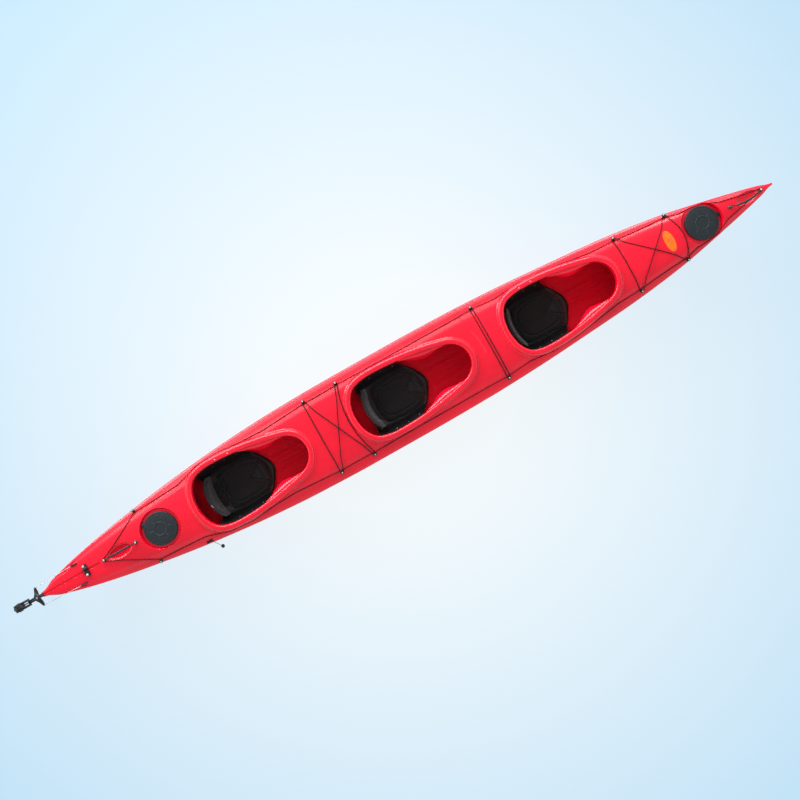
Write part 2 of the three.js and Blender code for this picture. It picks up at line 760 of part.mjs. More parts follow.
// Points of a cord lying over the deck between two places
function layOver([fromStation, fromY], [toStation, toY], lift, steps, bow = 0) {
  return Array.from({ length: steps }, (_, index) => {
    const share = (index + 1) / (steps + 1);
    const y = THREE.MathUtils.lerp(fromY, toY, share);
    const station = THREE.MathUtils.lerp(fromStation, toStation, share) + bow * Math.sin(Math.PI * share);
    return point(station, y, deckHeight(station, y) + lift);
  });
}

// A closed cord through its points
function cordLoop(points, radius) {
  const up = point(0, 0, 1);
  return loft(points.map((at, index) => {
    const before = points[(index + points.length - 1) % points.length];
    const after = points[(index + 1) % points.length];
    const run = after.clone().sub(before).normalize();
    const side = new THREE.Vector3().crossVectors(run, up).normalize();
    const top = new THREE.Vector3().crossVectors(side, run);
    return Array.from({ length: cordSides }, (_, corner) => {
      const angle = 2 * Math.PI * corner / cordSides;
      const out = at.clone().addScaledVector(side, radius * Math.cos(angle));
      return out.addScaledVector(top, radius * Math.sin(angle));
    });
  }), { loop: true });
}

// An open cord along a smooth curve
function cordAlong(points, radius, steps) {
  const section = new THREE.Shape();
  section.absarc(0, 0, radius, 0, Math.PI * 2);
  const path = new THREE.CatmullRomCurve3(points, false, 'centripetal');
  const options = { steps, extrudePath: path, curveSegments: cordSides / 2 };
  return orient(mergeVertices(bareOf(new THREE.ExtrudeGeometry(section, options))));
}

const pair = (index, side) => [fittingPlaces[index][0], side * fittingPlaces[index][1]];

// The line all round the deck, from the stern handle to the bow handle and back
function makeDeckLine() {
  const lift = lineRadius + cordLift;
  const [sternGrip, bowGrip] = grips;
  const sideRun = (side) => {
    const points = [];
    const spools = fittingPlaces.map((_, index) => pair(index, side));
    const stops = [[sternGrip.from, 0], ...spools, [bowGrip.to, 0]];
    stops.slice(1).forEach((stop, index) => {
      const last = index === stops.length - 2;
      const steps = Math.max(2, Math.round((stop[0] - stops[index][0]) / (last ? lineStep / 2 : lineStep)));
      const inward = side * (fittingNeck + lineRadius + cordClearance);
      points.push(...layOver(
        [stops[index][0], stops[index][1] - (index ? inward : 0)],
        [stop[0], stop[1] - (last ? 0 : inward)], lift, steps, 0)
        .map((at) => carried(at, side, lift)));
      if (!last) points.push(...turnRound(stop, -side * 90, -side * 90, lineLevel, lineRadius, 0));
    });
    return points;
  };
  const port = sideRun(1);
  const starboard = sideRun(-1).toReversed();
  const round = (station, from, to) => turnRound([station, 0], from, to, lineLevel, lineRadius, 4);
  return cordLoop([...port, ...round(bowGrip.to, 70, -70), ...starboard, ...round(sternGrip.from, 250, 110)],
    lineRadius);
}

// Keeps the line outside the coamings, on the side deck
const lineStep = 210;
const lineEdgeGap = 15;
function carried(at, side, lift) {
  const besideLips = cockpits.map((cockpit) => {
    const beside = at.x > cockpit.aft - lipWidth && at.x < cockpit.fore + lipWidth;
    return beside ? openingHalfWidth(cockpit, at.x) + lipWidth + lineEdgeGap : 0;
  });
  const besideHatches = hatches.map(({ station }) => (
    Math.sqrt(Math.max(0, (hatchRadius + lineEdgeGap) ** 2 - (at.x - station) ** 2))));
  const outside = Math.max(Math.abs(at.y), ...besideLips, ...besideHatches);
  return point(at.x, side * outside, deckHeight(at.x, outside) + lift);
}

// Bungee laced in a cross between four spools, with a straight across each end
const acrossSteps = 5;
const turnSteps = 4;
function makeCrossBungee(aft, fore, foreBow) {
  const level = bungeeLevel;
  const lift = bungeeRadius + cordLift;
  const over = lift + bungeeRadius * 2 + cordClearance;
  const [aftPort, aftStarboard] = [pair(aft, 1), pair(aft, -1)];
  const [forePort, foreStarboard] = [pair(fore, 1), pair(fore, -1)];
  const turn = (stop, from, to) => turnRound(stop, from, to, level, bungeeRadius);
  const slant = THREE.MathUtils.radToDeg(
    Math.atan2(forePort[1] - aftStarboard[1], forePort[0] - aftStarboard[0]));
  return cordLoop([
    ...turn(aftPort, 90 - slant, 180), ...layOver(aftPort, aftStarboard, lift, acrossSteps).map(
      (at) => at.setX(at.x - fittingNeck)),
    ...turn(aftStarboard, 180, 270 + slant), ...layOver(aftStarboard, forePort, over, acrossSteps),
    ...turn(forePort, 90 + slant, 0), ...layOver(forePort, foreStarboard, lift, acrossSteps, foreBow).map(
      (at) => at.setX(at.x + fittingNeck)),
    ...turn(foreStarboard, 0, -90 - slant), ...layOver(foreStarboard, aftPort, lift, acrossSteps),
  ], bungeeRadius);
}

// Bungee in two straights between one pair of spools
function makeDoubleBungee(index) {
  const lift = bungeeRadius + cordLift;
  const [port, starboard] = [pair(index, 1), pair(index, -1)];
  const apart = fittingNeck + bungeeRadius + cordClearance;
  const shifted = (points, shift) => points.map((at) => at.setX(at.x + shift));
  return cordLoop([
    ...turnRound(port, 0, 180, bungeeLevel, bungeeRadius, turnSteps),
    ...shifted(layOver(port, starboard, lift, acrossSteps), -apart),
    ...turnRound(starboard, 180, 360, bungeeLevel, bungeeRadius, turnSteps),
    ...shifted(layOver(starboard, port, lift, acrossSteps), apart),
  ], bungeeRadius);
}

// Carry handle: a grip on a strap between two spools, over its finger dish
const gripRadius = 8;
const gripHeight = 26;
const strapRadius = 4;
const gripSway = [0, -22];

function makeGrip({ from, to }, sway) {
  const ends = [from, to].map((station) => toSolid(spool().applyMatrix4(deckFrame(station, 0))));
  const top = fittingHeight - fittingFlange / 2;
  const at = (share) => {
    const station = THREE.MathUtils.lerp(from, to, share);
    const arch = Math.sin(Math.PI * share);
    const foot = deckHeight(station, 0) + fittingGap + top;
    return point(station, sway * arch, foot + (gripHeight - top) * arch);
  };
  const run = (first, last, steps) => Array.from({ length: steps + 1 }, (_, index) => (
    at(THREE.MathUtils.lerp(first, last, index / steps))));
  const strap = toSolid(cordAlong(run(0, 1, 8), strapRadius, 8));
  const grip = toSolid(cordAlong(run(0.16, 0.84, 6), gripRadius, 6));
  return ends[0].add(ends[1]).add(strap).add(grip);
}

// Rudder: bracket on the stern, steering pin, yoke with its two arms, and the lifting blade
const pinStation = -50;
const pinRadius = 5;
const pinHead = 8;
const pinHeadHeight = 4;
const knuckleRadius = 13;
const bracketDrop = 43;
const bracketHeight = 58;
const bracketLow = sheerHeight + sternSheerRise - bracketDrop;
const bracketHigh = bracketLow + bracketHeight;
const bracketPlate = 6;
const bracketHalfWidth = 17;
const knuckleShare = 0.3;
const armThickness = 14;
const armTip = 67;
const armTipRadius = 6;
const armSweep = 7;
const pivotRise = 42;
const pivotHeight = bracketHigh + pivotRise;
const bladeLength = 504;
const bladeThickness = 8;
const bladeTrail = 15;
const bladeChord = 92;
const bladeRoot = 90;
const cheekInner = 10;
const cheekOuter = 26;
const cheekRadius = 34;
const drumSegments = 24;
const cheekRidges = 1;
const ridgeDepth = 3;
const boltRadius = 6;
const boltHeadRadius = 15;
const boltHead = 5;
const runningGap = 0.3;
const cableRadius = 1.5;
const guideStation = 285;
const guideLength = 44;
const guideRadius = 5;
const guideRise = 7;
const guideShare = 0.66;
const saddleStation = 322;
const saddleLength = 30;
const saddleHalfWidth = 45;
const saddleWall = 5;
const saddleSlot = 14;

const armLevel = (bracketLow + bracketHigh) / 2;

// A flat outline pushed up through a height
function plateBetween(outline, low, high, holes = []) {
  const shape = new THREE.Shape(outline.map(([x, y]) => new THREE.Vector2(x, y)));
  shape.holes = holes.map((hole) => new THREE.Path(hole.map(([x, y]) => new THREE.Vector2(x, y))));
  return new THREE.ExtrudeGeometry(shape, { depth: high - low, bevelEnabled: false }).translate(0, 0, low);
}

// A flat outline in the plane of the keel, pushed out through a width
function plateAcross(outline, port, starboard) {
  return plateBetween(outline, starboard, port).rotateX(Math.PI / 2).scale(1, -1, 1).rotateY(0);
}

function rodUp(radius, low, high, x, y, segments = 14) {
  return new THREE.CylinderGeometry(radius, radius, high - low, segments).rotateX(Math.PI / 2)
    .translate(x, y, (low + high) / 2);
}

function rodAcross(radius, reach, x, z, segments = 14) {
  return new THREE.CylinderGeometry(radius, radius, reach * 2, segments).translate(x, 0, z);
}

const lugWidthShare = 0.9;
function makeSternBracket() {
  const rise = bracketHigh - bracketLow;
  const plate = toSolid(block(point(-joinGap - bracketPlate, -bracketHalfWidth, bracketLow),
    point(-joinGap, bracketHalfWidth, bracketHigh)));
  const levels = [
    [bracketLow, bracketLow + rise * knuckleShare],
    [bracketHigh - rise * knuckleShare, bracketHigh],
  ];
  let bracket = plate;
  for (const [low, high] of levels) {
    bracket = bracket.add(toSolid(rodUp(knuckleRadius, low, high, pinStation, 0)));
    bracket = bracket.add(toSolid(block(point(pinStation, -knuckleRadius * lugWidthShare, low),
      point(-joinGap - bracketPlate / 2, knuckleRadius * lugWidthShare, high))));
  }
  return bracket.subtract(toSolid(rodUp(pinRadius + runningGap, 0, clearHeight, pinStation, 0)));
}

function makeSteeringPin() {
  const above = bracketHigh + joinGap;
  const below = bracketLow - joinGap;
  const half = pinHeadHeight / 2;
  return toSolid(rodUp(pinRadius, below - half, above + half, pinStation, 0))
    .add(toSolid(rodUp(pinHead, above, above + pinHeadHeight, pinStation, 0)))
    .add(toSolid(rodUp(pinHead, below - pinHeadHeight, below, pinStation, 0)));
}

const neckAft = rudderDrumStation + rudderDrumRadius;
const armFrontShare = 0.55;
const armBackShare = 0.5;
const neckShare = 2.2;
const slotStartShare = 1.8;
const slotHalfWidth = 5;
const cableHoleRadius = 2;
const cheekStartTurn = -0.2;
const cheekEndTurn = Math.PI * 1.2;

function makeYoke() {
  const middleRise = (bracketHigh - bracketLow) * (midShare - knuckleShare) - runningGap;
  const low = armLevel - armThickness / 2;
  const high = armLevel + armThickness / 2;
  const tipX = pinStation + armSweep;
  const half = [
    [pinStation + knuckleRadius, 0], [pinStation + knuckleRadius * 0.6, knuckleRadius * 0.9],
    [tipX + armTipRadius, armTip * armFrontShare], [tipX + armTipRadius, armTip],
    [tipX, armTip + armTipRadius], [tipX - armTipRadius, armTip],
    [pinStation - knuckleRadius, armTip * armBackShare],
    [pinStation - knuckleRadius * neckShare, knuckleRadius], [neckAft + cutOverrun, knuckleRadius],
  ];
  const outline = [...half, ...half.slice(1).toReversed().map(([x, y]) => [x, -y])];
  const slotStart = pinStation - knuckleRadius * slotStartShare;
  const slot = [[slotStart, -slotHalfWidth], [slotStart, slotHalfWidth], [neckAft + knuckleRadius, 0]];
  let yoke = toSolid(plateBetween(outline, low, high, [slot]))
    .add(toSolid(rodUp(knuckleRadius, armLevel - middleRise, armLevel + middleRise, pinStation, 0)));
  const cheek = new THREE.Shape();
  cheek.moveTo(neckAft + knuckleRadius, low);
  cheek.lineTo(neckAft + knuckleRadius, high);
  cheek.absarc(rudderDrumStation, pivotHeight, cheekRadius, cheekStartTurn, cheekEndTurn, false);
  cheek.lineTo(rudderDrumStation, low);
  for (const side of [1, -1]) {
    const plate = new THREE.ExtrudeGeometry(cheek, { depth: cheekOuter - cheekInner, bevelEnabled: false,
      curveSegments: 10 }).rotateX(Math.PI / 2).translate(0, side > 0 ? cheekOuter : -cheekInner, 0);
    yoke = yoke.add(toSolid(plate));
    for (let ridge = 0; ridge < cheekRidges; ridge += 1) {
      const y = side * (cheekInner + (cheekOuter - cheekInner) * (ridge + 1) / (cheekRidges + 1));
      const ring = toSolid(rodAcross(cheekRadius * 2, ridgeDepth / 2, rudderDrumStation, pivotHeight)
        .translate(0, y, 0));
      const core = toSolid(rodAcross(cheekRadius - ridgeDepth, ridgeDepth, rudderDrumStation, pivotHeight,
        roundSegments).translate(0, y, 0));
      const above = toSolid(block(point(rudderDrumStation * 2, -armTip, pivotHeight - cheekRadius / 2),
        point(0, armTip, pivotHeight + cheekRadius * 2)));
      yoke = yoke.subtract(ring.subtract(core).intersect(above));
    }
  }
  const web = block(point(neckAft + cutOverrun, -cheekOuter, low),
    point(neckAft + knuckleRadius, cheekOuter, high));
  return yoke.add(toSolid(web))
    .subtract(toSolid(rodUp(pinRadius + runningGap, 0, clearHeight, pinStation, 0)))
    .subtract(toSolid(rodAcross(boltRadius + runningGap, armTip, rudderDrumStation, pivotHeight)))
    .subtract(toSolid(rodUp(cableHoleRadius, low - cutOverrun, high + cutOverrun, tipX, armTip, 8)))
    .subtract(toSolid(rodUp(cableHoleRadius, low - cutOverrun, high + cutOverrun, tipX, -armTip, 8)));
}

function makePivotBolt() {
  const face = cheekOuter + joinGap;
  const bolt = toSolid(rodAcross(boltRadius, face + boltHead / 2, rudderDrumStation, pivotHeight));
  const cut = toSolid(rodAcross(boltHeadRadius, face, rudderDrumStation, pivotHeight));
  const heads = toSolid(rodAcross(boltHeadRadius, face + boltHead, rudderDrumStation, pivotHeight));
  return bolt.add(heads.subtract(cut));
}

// The blade: a thin foil with a disc at its root, hanging straight down from the pivot.
// Its edges: share of the chord behind or ahead of the pivot, share of the length down
const trailShares = [[1, 0], [1, 0.9], [0.6, 0.97], [0, 1]];
const leadShares = [[0.45, 1], [0.75, 0.97], [0.93, 0.88], [1, 0.7], [1, 0.4]];
const rootWidthShare = 0.9;
const shoulderShare = 0.8;
const shoulderDropShare = 1.6;
function makeBlade() {
  const lead = bladeChord - bladeTrail;
  const root = cheekRadius * rootWidthShare;
  const down = [
    ...trailShares.map(([back, drop]) => [-bladeTrail * back, bladeLength * drop]),
    ...leadShares.map(([fore, drop]) => [lead * fore, bladeLength * drop]),
    [lead * shoulderShare, bladeRoot * shoulderDropShare], [root, bladeRoot], [root, 0],
  ];
  const outline = down.map(([fore, drop]) => [rudderDrumStation + fore, pivotHeight - drop]);
  const plate = plateBetween(outline, -bladeThickness / 2, bladeThickness / 2).rotateX(Math.PI / 2);
  const foil = toSolid(orient(mergeVertices(bareOf(plate))));
  const disc = toSolid(
    rodAcross(rudderDrumRadius, cheekInner - runningGap, rudderDrumStation, pivotHeight, drumSegments));
  return foil.add(disc).subtract(
    toSolid(rodAcross(boltRadius + runningGap, armTip, rudderDrumStation, pivotHeight)));
}

// Steering cables from the arm tips to the guides let into the rear deck
const guideY = () => halfWidthAt(guideStation) * guideShare;
const guideLevel = () => deckHeight(guideStation, guideY()) + guideRadius + guideRise;

function makeSteeringCable(side) {
  const lift = armThickness / 2 + cableRadius + joinGap * 2;
  const tip = point(pinStation + armSweep, side * armTip, armLevel + lift);
  const entry = point(guideStation - guideLength - joinGap, side * guideY(), guideLevel());
  const middle = tip.clone().lerp(entry, midShare);
  return cordAlong([tip, tip.clone().lerp(entry, 0.1), middle, entry], cableRadius, 8);
}

function makeCableGuide(side) {
  const level = guideLevel();
  const tube = new THREE.CylinderGeometry(guideRadius, guideRadius, guideLength, 10).rotateZ(Math.PI / 2)
    .translate(guideStation - guideLength / 2, side * guideY(), level);
  const foot = block(point(guideStation - guideLength, side * guideY() - guideRadius, sheerHeight),
    point(guideStation, side * guideY() + guideRadius, level));
  return toSolid(tube).add(toSolid(foot)).subtract(deckBody(0, sheerHeight, joinGap * 2));
}

// A saddle across the rear deck that the lifted blade drops into
const saddleHornShare = 1.8;
const saddleBedShare = 2.4;
function makeRudderRest() {
  const low = ridgeAt(saddleStation);
  const seat = low + saddleLength;
  const half = [[saddleHalfWidth, sheerHeight], [saddleHalfWidth, low + saddleWall],
    [saddleSlot * saddleHornShare, low + saddleWall * 2], [saddleSlot, seat], [saddleSlot / 2, seat],
    [saddleSlot / 2, low + saddleWall * saddleBedShare], [0, low + saddleWall * 2]];
  const rings = [saddleStation - saddleLength / 2, saddleStation + saddleLength / 2].map((station) => (
    mirrored(station, half.slice(0, -1)).toSpliced(6, 0, point(station, 0, half[6][1]))));
  return toSolid(loft(rings)).subtract(deckBody(0, sheerHeight, joinGap * 2));
}

// Cleat on the starboard side deck, with the line that lifts the rudder and its ball
const cleatShare = 0.19828;
const cleatOutShare = 0.9365;
const cleatStation = hullLength * cleatShare;
const cleatY = -halfWidthAt(cleatStation) * cleatOutShare;
const cleatLength = 46;
const cleatWidth = 16;
const cleatHeight = 12;
const cleatSlotWidth = 4;
const liftLineRadius = 1.5;
const liftBallRadius = 14;
const liftBallPlace = [46, -78, -74.6];

const cleatTop = () => deckHeight(cleatStation, cleatY) + cleatHeight;

function makeCleat() {
  const body = block(point(cleatStation - cleatLength / 2, cleatY - cleatWidth / 2, sheerHeight),
    point(cleatStation + cleatLength / 2, cleatY + cleatWidth / 2, cleatTop()));
  const half = cleatSlotWidth / 2;
  const gap = block(point(cleatStation - cleatLength, cleatY - half, cleatTop() - cleatHeight / 2),
    point(cleatStation + cleatLength, cleatY + half, cleatTop() + cutOverrun));
  return toSolid(body).subtract(toSolid(gap)).subtract(deckBody(0, sheerHeight, joinGap * 2));
}

// Route of the free end of the lift line, over the edge of the deck to the ball, from the middle of
// the cleat's foot
const liftRoute = [
  [16, -9.4, -0.6], [20, -15, -2.1], [24, -21, -4.6], [28, -28, -8.6], [31, -35, -15.1], [34, -42, -23.6],
  [37, -49, -31.6], [40, -56, -40.6], [42, -62, -49.6], [43.5, -66.5, -56.1], [44.5, -70.6, -62.4],
];
const fromCleat = ([x, y, z]) => point(x, y, z)
  .add(point(cleatStation, cleatY, deckHeight(cleatStation, cleatY)));

// The assembly

const kayak = new THREE.Group();
kayak.position.x = -frameCentre;

const finishes = {
  shell: { color: 0xe01328, roughness: 0.22, metalness: 0 },
  hatch: { color: 0x262e34, roughness: 0.6, metalness: 0 },
  seat: { color: 0x17181a, roughness: 0.6, metalness: 0 },
  pad: { color: 0x101112, roughness: 0.9, metalness: 0 },
  fitting: { color: 0x141416, roughness: 0.5, metalness: 0 },
  metal: { color: 0xb9bcc0, roughness: 0.3, metalness: 1 },
  cord: { color: 0x2a1216, roughness: 0.8, metalness: 0 },
  foam: { color: 0x2c2f33, roughness: 0.95, metalness: 0 },
};

function addPiece(name, solid, finish) {
  const geometry = solid instanceof THREE.BufferGeometry ? solid : toGeometry(solid);
  const mesh = new THREE.Mesh(geometry, new THREE.MeshStandardMaterial(finishes[finish]));
  mesh.name = name;
  kayak.add(mesh);
  return mesh;
}

addPiece('hull', makeHull(), 'shell');
addPiece('deck', makeDeck(), 'shell');
for (const bulkhead of bulkheads) addPiece(`${bulkhead.name}_bulkhead`, makeBulkhead(bulkhead), 'foam');
const tabAngles = [0.8 * Math.PI, 0];
hatches.forEach((hatch, index) => {
  addPiece(`${hatch.name}_hatch_rim`, makeHatchRim(hatch), 'fitting');
  addPiece(`${hatch.name}_hatch_cover`, makeHatchCover(hatch, tabAngles[index]), 'hatch');
});
cockpits.forEach((cockpit, index) => {
  const { front } = cockpit;
  addPiece(`${cockpit.name}_seat_pan`, makeSeatPan(cockpit, front), 'seat');
  addPiece(`${cockpit.name}_seat_pad`, makeSeatPad(cockpit, front), 'pad');
  addPiece(`${cockpit.name}_backrest`, makeBackrest(cockpit, front), 'pad');
  for (const [hand, side] of [['port', 1], ['starboard', -1]]) {
    addPiece(`${cockpit.name}_${hand}_rail`, makeRail(front, side), 'fitting');
    addPiece(`${cockpit.name}_${hand}_pedal`, makePedal(front, side), 'fitting');
  }
});
fittingPlaces.forEach(([station, y], index) => {
  for (const [hand, side] of [['port', 1], ['starboard', -1]]) {
    addPiece(`${hand}_fitting_${index + 1}`, spool().applyMatrix4(deckFrame(station, side * y)), 'fitting');
  }
});
addPiece('deck_line', makeDeckLine(), 'cord');
addPiece('rear_bungee', makeCrossBungee(1, 2, -55), 'cord');
addPiece('middle_bungee', makeDoubleBungee(3), 'cord');
addPiece('foredeck_bungee', makeCrossBungee(4, 5, 42), 'cord');
grips.forEach((grip, index) => addPiece(`${grip.name}_handle`, makeGrip(grip, gripSway[index]), 'fitting'));
addPiece('stern_bracket', makeSternBracket(), 'fitting');
addPiece('steering_pin', makeSteeringPin(), 'metal');
addPiece('rudder_yoke', makeYoke(), 'fitting');
addPiece('blade_pivot_bolt', makePivotBolt(), 'metal');
addPiece('rudder_blade', makeBlade(), 'fitting');
addPiece('rudder_rest', makeRudderRest(), 'fitting');
for (const [hand, side] of [['port', 1], ['starboard', -1]]) {
  addPiece(`${hand}_steering_cable`, makeSteeringCable(side), 'metal');
  addPiece(`${hand}_cable_guide`, makeCableGuide(side), 'fitting');
}
addPiece('lift_line_cleat', makeCleat(), 'fitting');
addPiece('lift_line', cordAlong(liftRoute.map(fromCleat), liftLineRadius, 14), 'cord');
const liftBall = new THREE.SphereGeometry(liftBallRadius, 12, 8).translate(...fromCleat(liftBallPlace));
addPiece('lift_ball', liftBall, 'fitting');

export default kayak;
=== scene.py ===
import json
import math

import bmesh
import bpy
import numpy as np
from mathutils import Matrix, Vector
from mathutils.bvhtree import BVHTree

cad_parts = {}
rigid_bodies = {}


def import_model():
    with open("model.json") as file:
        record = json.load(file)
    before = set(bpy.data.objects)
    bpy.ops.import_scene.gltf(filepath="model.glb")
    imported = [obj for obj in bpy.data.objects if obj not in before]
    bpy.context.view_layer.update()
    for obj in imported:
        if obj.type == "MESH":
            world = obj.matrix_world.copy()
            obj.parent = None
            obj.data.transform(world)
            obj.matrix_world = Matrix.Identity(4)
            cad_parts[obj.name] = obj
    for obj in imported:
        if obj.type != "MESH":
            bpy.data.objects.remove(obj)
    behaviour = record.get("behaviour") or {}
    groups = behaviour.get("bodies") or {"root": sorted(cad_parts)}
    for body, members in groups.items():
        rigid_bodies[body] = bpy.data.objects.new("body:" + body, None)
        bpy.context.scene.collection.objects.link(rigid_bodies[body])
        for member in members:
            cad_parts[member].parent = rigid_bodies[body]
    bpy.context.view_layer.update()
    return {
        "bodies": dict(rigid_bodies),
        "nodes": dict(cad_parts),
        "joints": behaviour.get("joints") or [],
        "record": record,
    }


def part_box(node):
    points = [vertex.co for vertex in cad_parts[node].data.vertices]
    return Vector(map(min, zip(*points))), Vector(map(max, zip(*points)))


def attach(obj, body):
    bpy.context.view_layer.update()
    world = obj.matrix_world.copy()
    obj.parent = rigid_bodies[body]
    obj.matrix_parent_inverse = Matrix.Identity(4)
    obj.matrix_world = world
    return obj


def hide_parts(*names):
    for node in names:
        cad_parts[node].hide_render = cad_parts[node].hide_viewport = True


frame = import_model()
nodes = frame["nodes"]
scene = bpy.context.scene

# The row frame is centred on the boat, while the lengths below run from the stern tip
HULL_LENGTH = 5.8
CENTRE = HULL_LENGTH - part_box("deck")[1][0]
COCKPITS = ("stern", "middle", "bow")
SIDES = (1, -1)


def at(station, y, z):
    return Vector((station - CENTRE, y, z))


# Camera: straight above the middle of the boat, turned as the photograph is

PHOTO_TURN = math.radians(-29.43)
PHOTO_SPAN = 5.554
CAMERA_RISE = 6.5
TIP_LEVEL = 0.47
AIM = (0.024, -0.041)
SENSOR = 36


def placed(name, data, place, turn):
    thing = bpy.data.objects.new(name, data)
    thing.location = place
    thing.rotation_euler = turn
    scene.collection.objects.link(thing)
    return thing


lens = bpy.data.cameras.new("photo_camera")
lens.sensor_width = SENSOR
lens.lens = SENSOR * CAMERA_RISE / PHOTO_SPAN
lens.clip_end = 100
scene.camera = placed("photo_camera", lens, (*AIM, TIP_LEVEL + CAMERA_RISE), (0, 0, PHOTO_TURN))


# Materials

def set_stops(ramp, stops):
    while len(ramp.elements) < len(stops):
        ramp.elements.new(0.5)
    for element, (place, color) in zip(ramp.elements, stops):
        element.position = place
        element.color = (*color, 1)


class Graph:
    """A material or a world whose nodes are added one call at a time."""

    def __init__(self, name, world=False):
        self.owner = (bpy.data.worlds if world else bpy.data.materials).new(name)
        self.owner.use_nodes = True
        self.tree = self.owner.node_tree
        self.shader = self.tree.nodes["Background" if world else "Principled BSDF"]
        self.place = self.add("ShaderNodeTexCoord").outputs["Generated" if world else "Object"]

    def add(self, kind, inputs=None, **values):
        node = self.tree.nodes.new(kind)
        for key, value in values.items():
            setattr(node, key, value)
        for key, value in (inputs or {}).items():
            self.feed(node.inputs[key], value)
        return node

    def feed(self, socket, value):
        if isinstance(value, bpy.types.NodeSocket):
            self.tree.links.new(value, socket)
        else:
            socket.default_value = value

    def mapped(self, scale, turn=(0, 0, 0)):
        node = self.add("ShaderNodeMapping", {"Vector": self.place, "Scale": scale, "Rotation": turn})
        return node.outputs["Vector"]

    def noise(self, scale, detail, roughness=0.5, where=None):
        node = self.add("ShaderNodeTexNoise", {
            "Vector": where or self.place, "Scale": scale, "Detail": detail, "Roughness": roughness})
        return node.outputs["Fac"]

    def wave(self, scale, where=None, distortion=0.0, direction="X"):
        node = self.add("ShaderNodeTexWave", {
            "Vector": where or self.place, "Scale": scale, "Distortion": distortion}, bands_direction=direction)
        return node.outputs["Fac"]

    def ramp(self, factor, stops):
        node = self.add("ShaderNodeValToRGB", {"Fac": factor})
        set_stops(node.color_ramp, stops)
        return node.outputs["Color"]

    def span(self, factor, low, high, start=0.0, stop=1.0):
        node = self.add("ShaderNodeMapRange", {
            "Value": factor, "From Min": start, "From Max": stop, "To Min": low, "To Max": high})
        return node.outputs["Result"]

    def math(self, operation, a, b):
        node = self.add("ShaderNodeMath", {0: a, 1: b}, operation=operation)
        return node.outputs["Value"]

    def mix(self, factor, a, b):
        node = self.add("ShaderNodeMix", {"Factor": factor, "A": a, "B": b}, data_type="RGBA")
        return node.outputs["Result"]

    def bump(self, height, distance, strength, normal=None):
        node = self.add("ShaderNodeBump", {"Height": height, "Distance": distance, "Strength": strength})
        if normal:
            self.feed(node.inputs["Normal"], normal)
        return node.outputs["Normal"]

    def finish(self, **sockets):
        for key, value in sockets.items():
            self.feed(self.shader.inputs[key.replace("_", " ")], value)
        return self.owner


def times(tone, factor, plus=0):
    return tuple(c * factor + plus for c in tone)


def shell_material(name, tone, coat=0.25, specular=0.42, dull=0.0):
    """Glossy moulded plastic: faint mottling, fine orange peel and hair scratches."""
    g = Graph(name)
    cloud = g.noise(2.2, 4, 0.6)
    bright = tuple(min(c, 1) for c in times(tone, 1.06))
    color = g.ramp(cloud, [(0.3, times(tone, 0.78)), (0.62, tone), (0.85, bright)])
    speck = g.span(g.noise(420, 2), 0, 1, 0.72, 0.78)
    color = g.mix(g.math("MULTIPLY", speck, 0.1), color, (tone[0] * 0.6, 0.02, 0.02, 1))
    scratch = g.noise(9, 6, 0.75, g.mapped((0.6, 9, 9), (0, 0, 0.12)))
    rough = g.math("ADD", g.span(cloud, dull + 0.16, dull + 0.24), g.span(scratch, 0, 0.05, 0.58, 0.75))
    peel = g.bump(g.noise(190, 2, 0.6), 0.00012, 0.06)
    wavy = g.bump(g.noise(5.5, 1.5), 0.004, 0.22, peel)
    return g.finish(Base_Color=color, Roughness=rough, Normal=wavy, Coat_Weight=coat, Coat_Roughness=0.12,
                    Specular_IOR_Level=specular)


def rubber_material(name, tone):
    """Soft rubber with a fine stipple, dusty on its high spots."""
    g = Graph(name)
    dust = g.noise(34, 5, 0.65)
    color = g.ramp(dust, [(0.35, tone), (0.8, times(tone, 1.7))])
    stipple = g.bump(g.noise(900, 2, 0.6), 0.0003, 0.5)
    soft = g.bump(g.noise(26, 2), 0.0015, 0.3, stipple)
    return g.finish(Base_Color=color, Roughness=g.span(dust, 0.5, 0.68), Normal=soft, Specular_IOR_Level=0.4)


def plastic_material(name, tone, rough=0.42):
    """Injection moulded plastic with spark texture and rubbed patches."""
    g = Graph(name)
    worn = g.noise(22, 5, 0.7)
    color = g.ramp(worn, [(0.4, tone), (0.78, times(tone, 1.9, 0.002))])
    texture = g.bump(g.noise(700, 3, 0.7), 0.00025, 0.5)
    return g.finish(Base_Color=color, Roughness=g.span(worn, rough + 0.1, rough - 0.08), Normal=texture)


def fabric_material(name, tone, pitch=420.0):
    """Woven nylon over foam: crossed yarns, slubs and a soft sheen."""
    g = Graph(name)
    warp = g.wave(pitch, distortion=0.6, direction="X")
    weft = g.wave(pitch, distortion=0.6, direction="Y")
    weave = g.math("MULTIPLY", warp, weft)
    slub = g.noise(60, 4, 0.6)
    color = g.mix(g.math("MULTIPLY", weave, g.span(slub, 0.4, 1)), (*tone, 1), (*times(tone, 2.6, 0.004), 1))
    threads = g.bump(weave, 0.0006, 0.6)
    soft = g.bump(g.noise(38, 3), 0.003, 0.4, threads)
    return g.finish(Base_Color=color, Roughness=g.span(slub, 0.74, 0.92), Normal=soft, Sheen_Weight=0.25,
                    Sheen_Roughness=0.5)


def cord_material(name, tone):
    """Braided cord: two crossed slanting waves."""
    g = Graph(name)
    one, two = (g.wave(210, g.mapped((1, 1, 1), (0, 0, math.radians(slant)))) for slant in (38, -38))
    braid = g.math("MAXIMUM", one, two)
    color = g.mix(braid, (*times(tone, 0.5), 1), (*times(tone, 1.5), 1))
    return g.finish(Base_Color=color, Roughness=g.span(braid, 0.85, 0.62), Normal=g.bump(braid, 0.0008, 0.7),
                    Specular_IOR_Level=0.25)


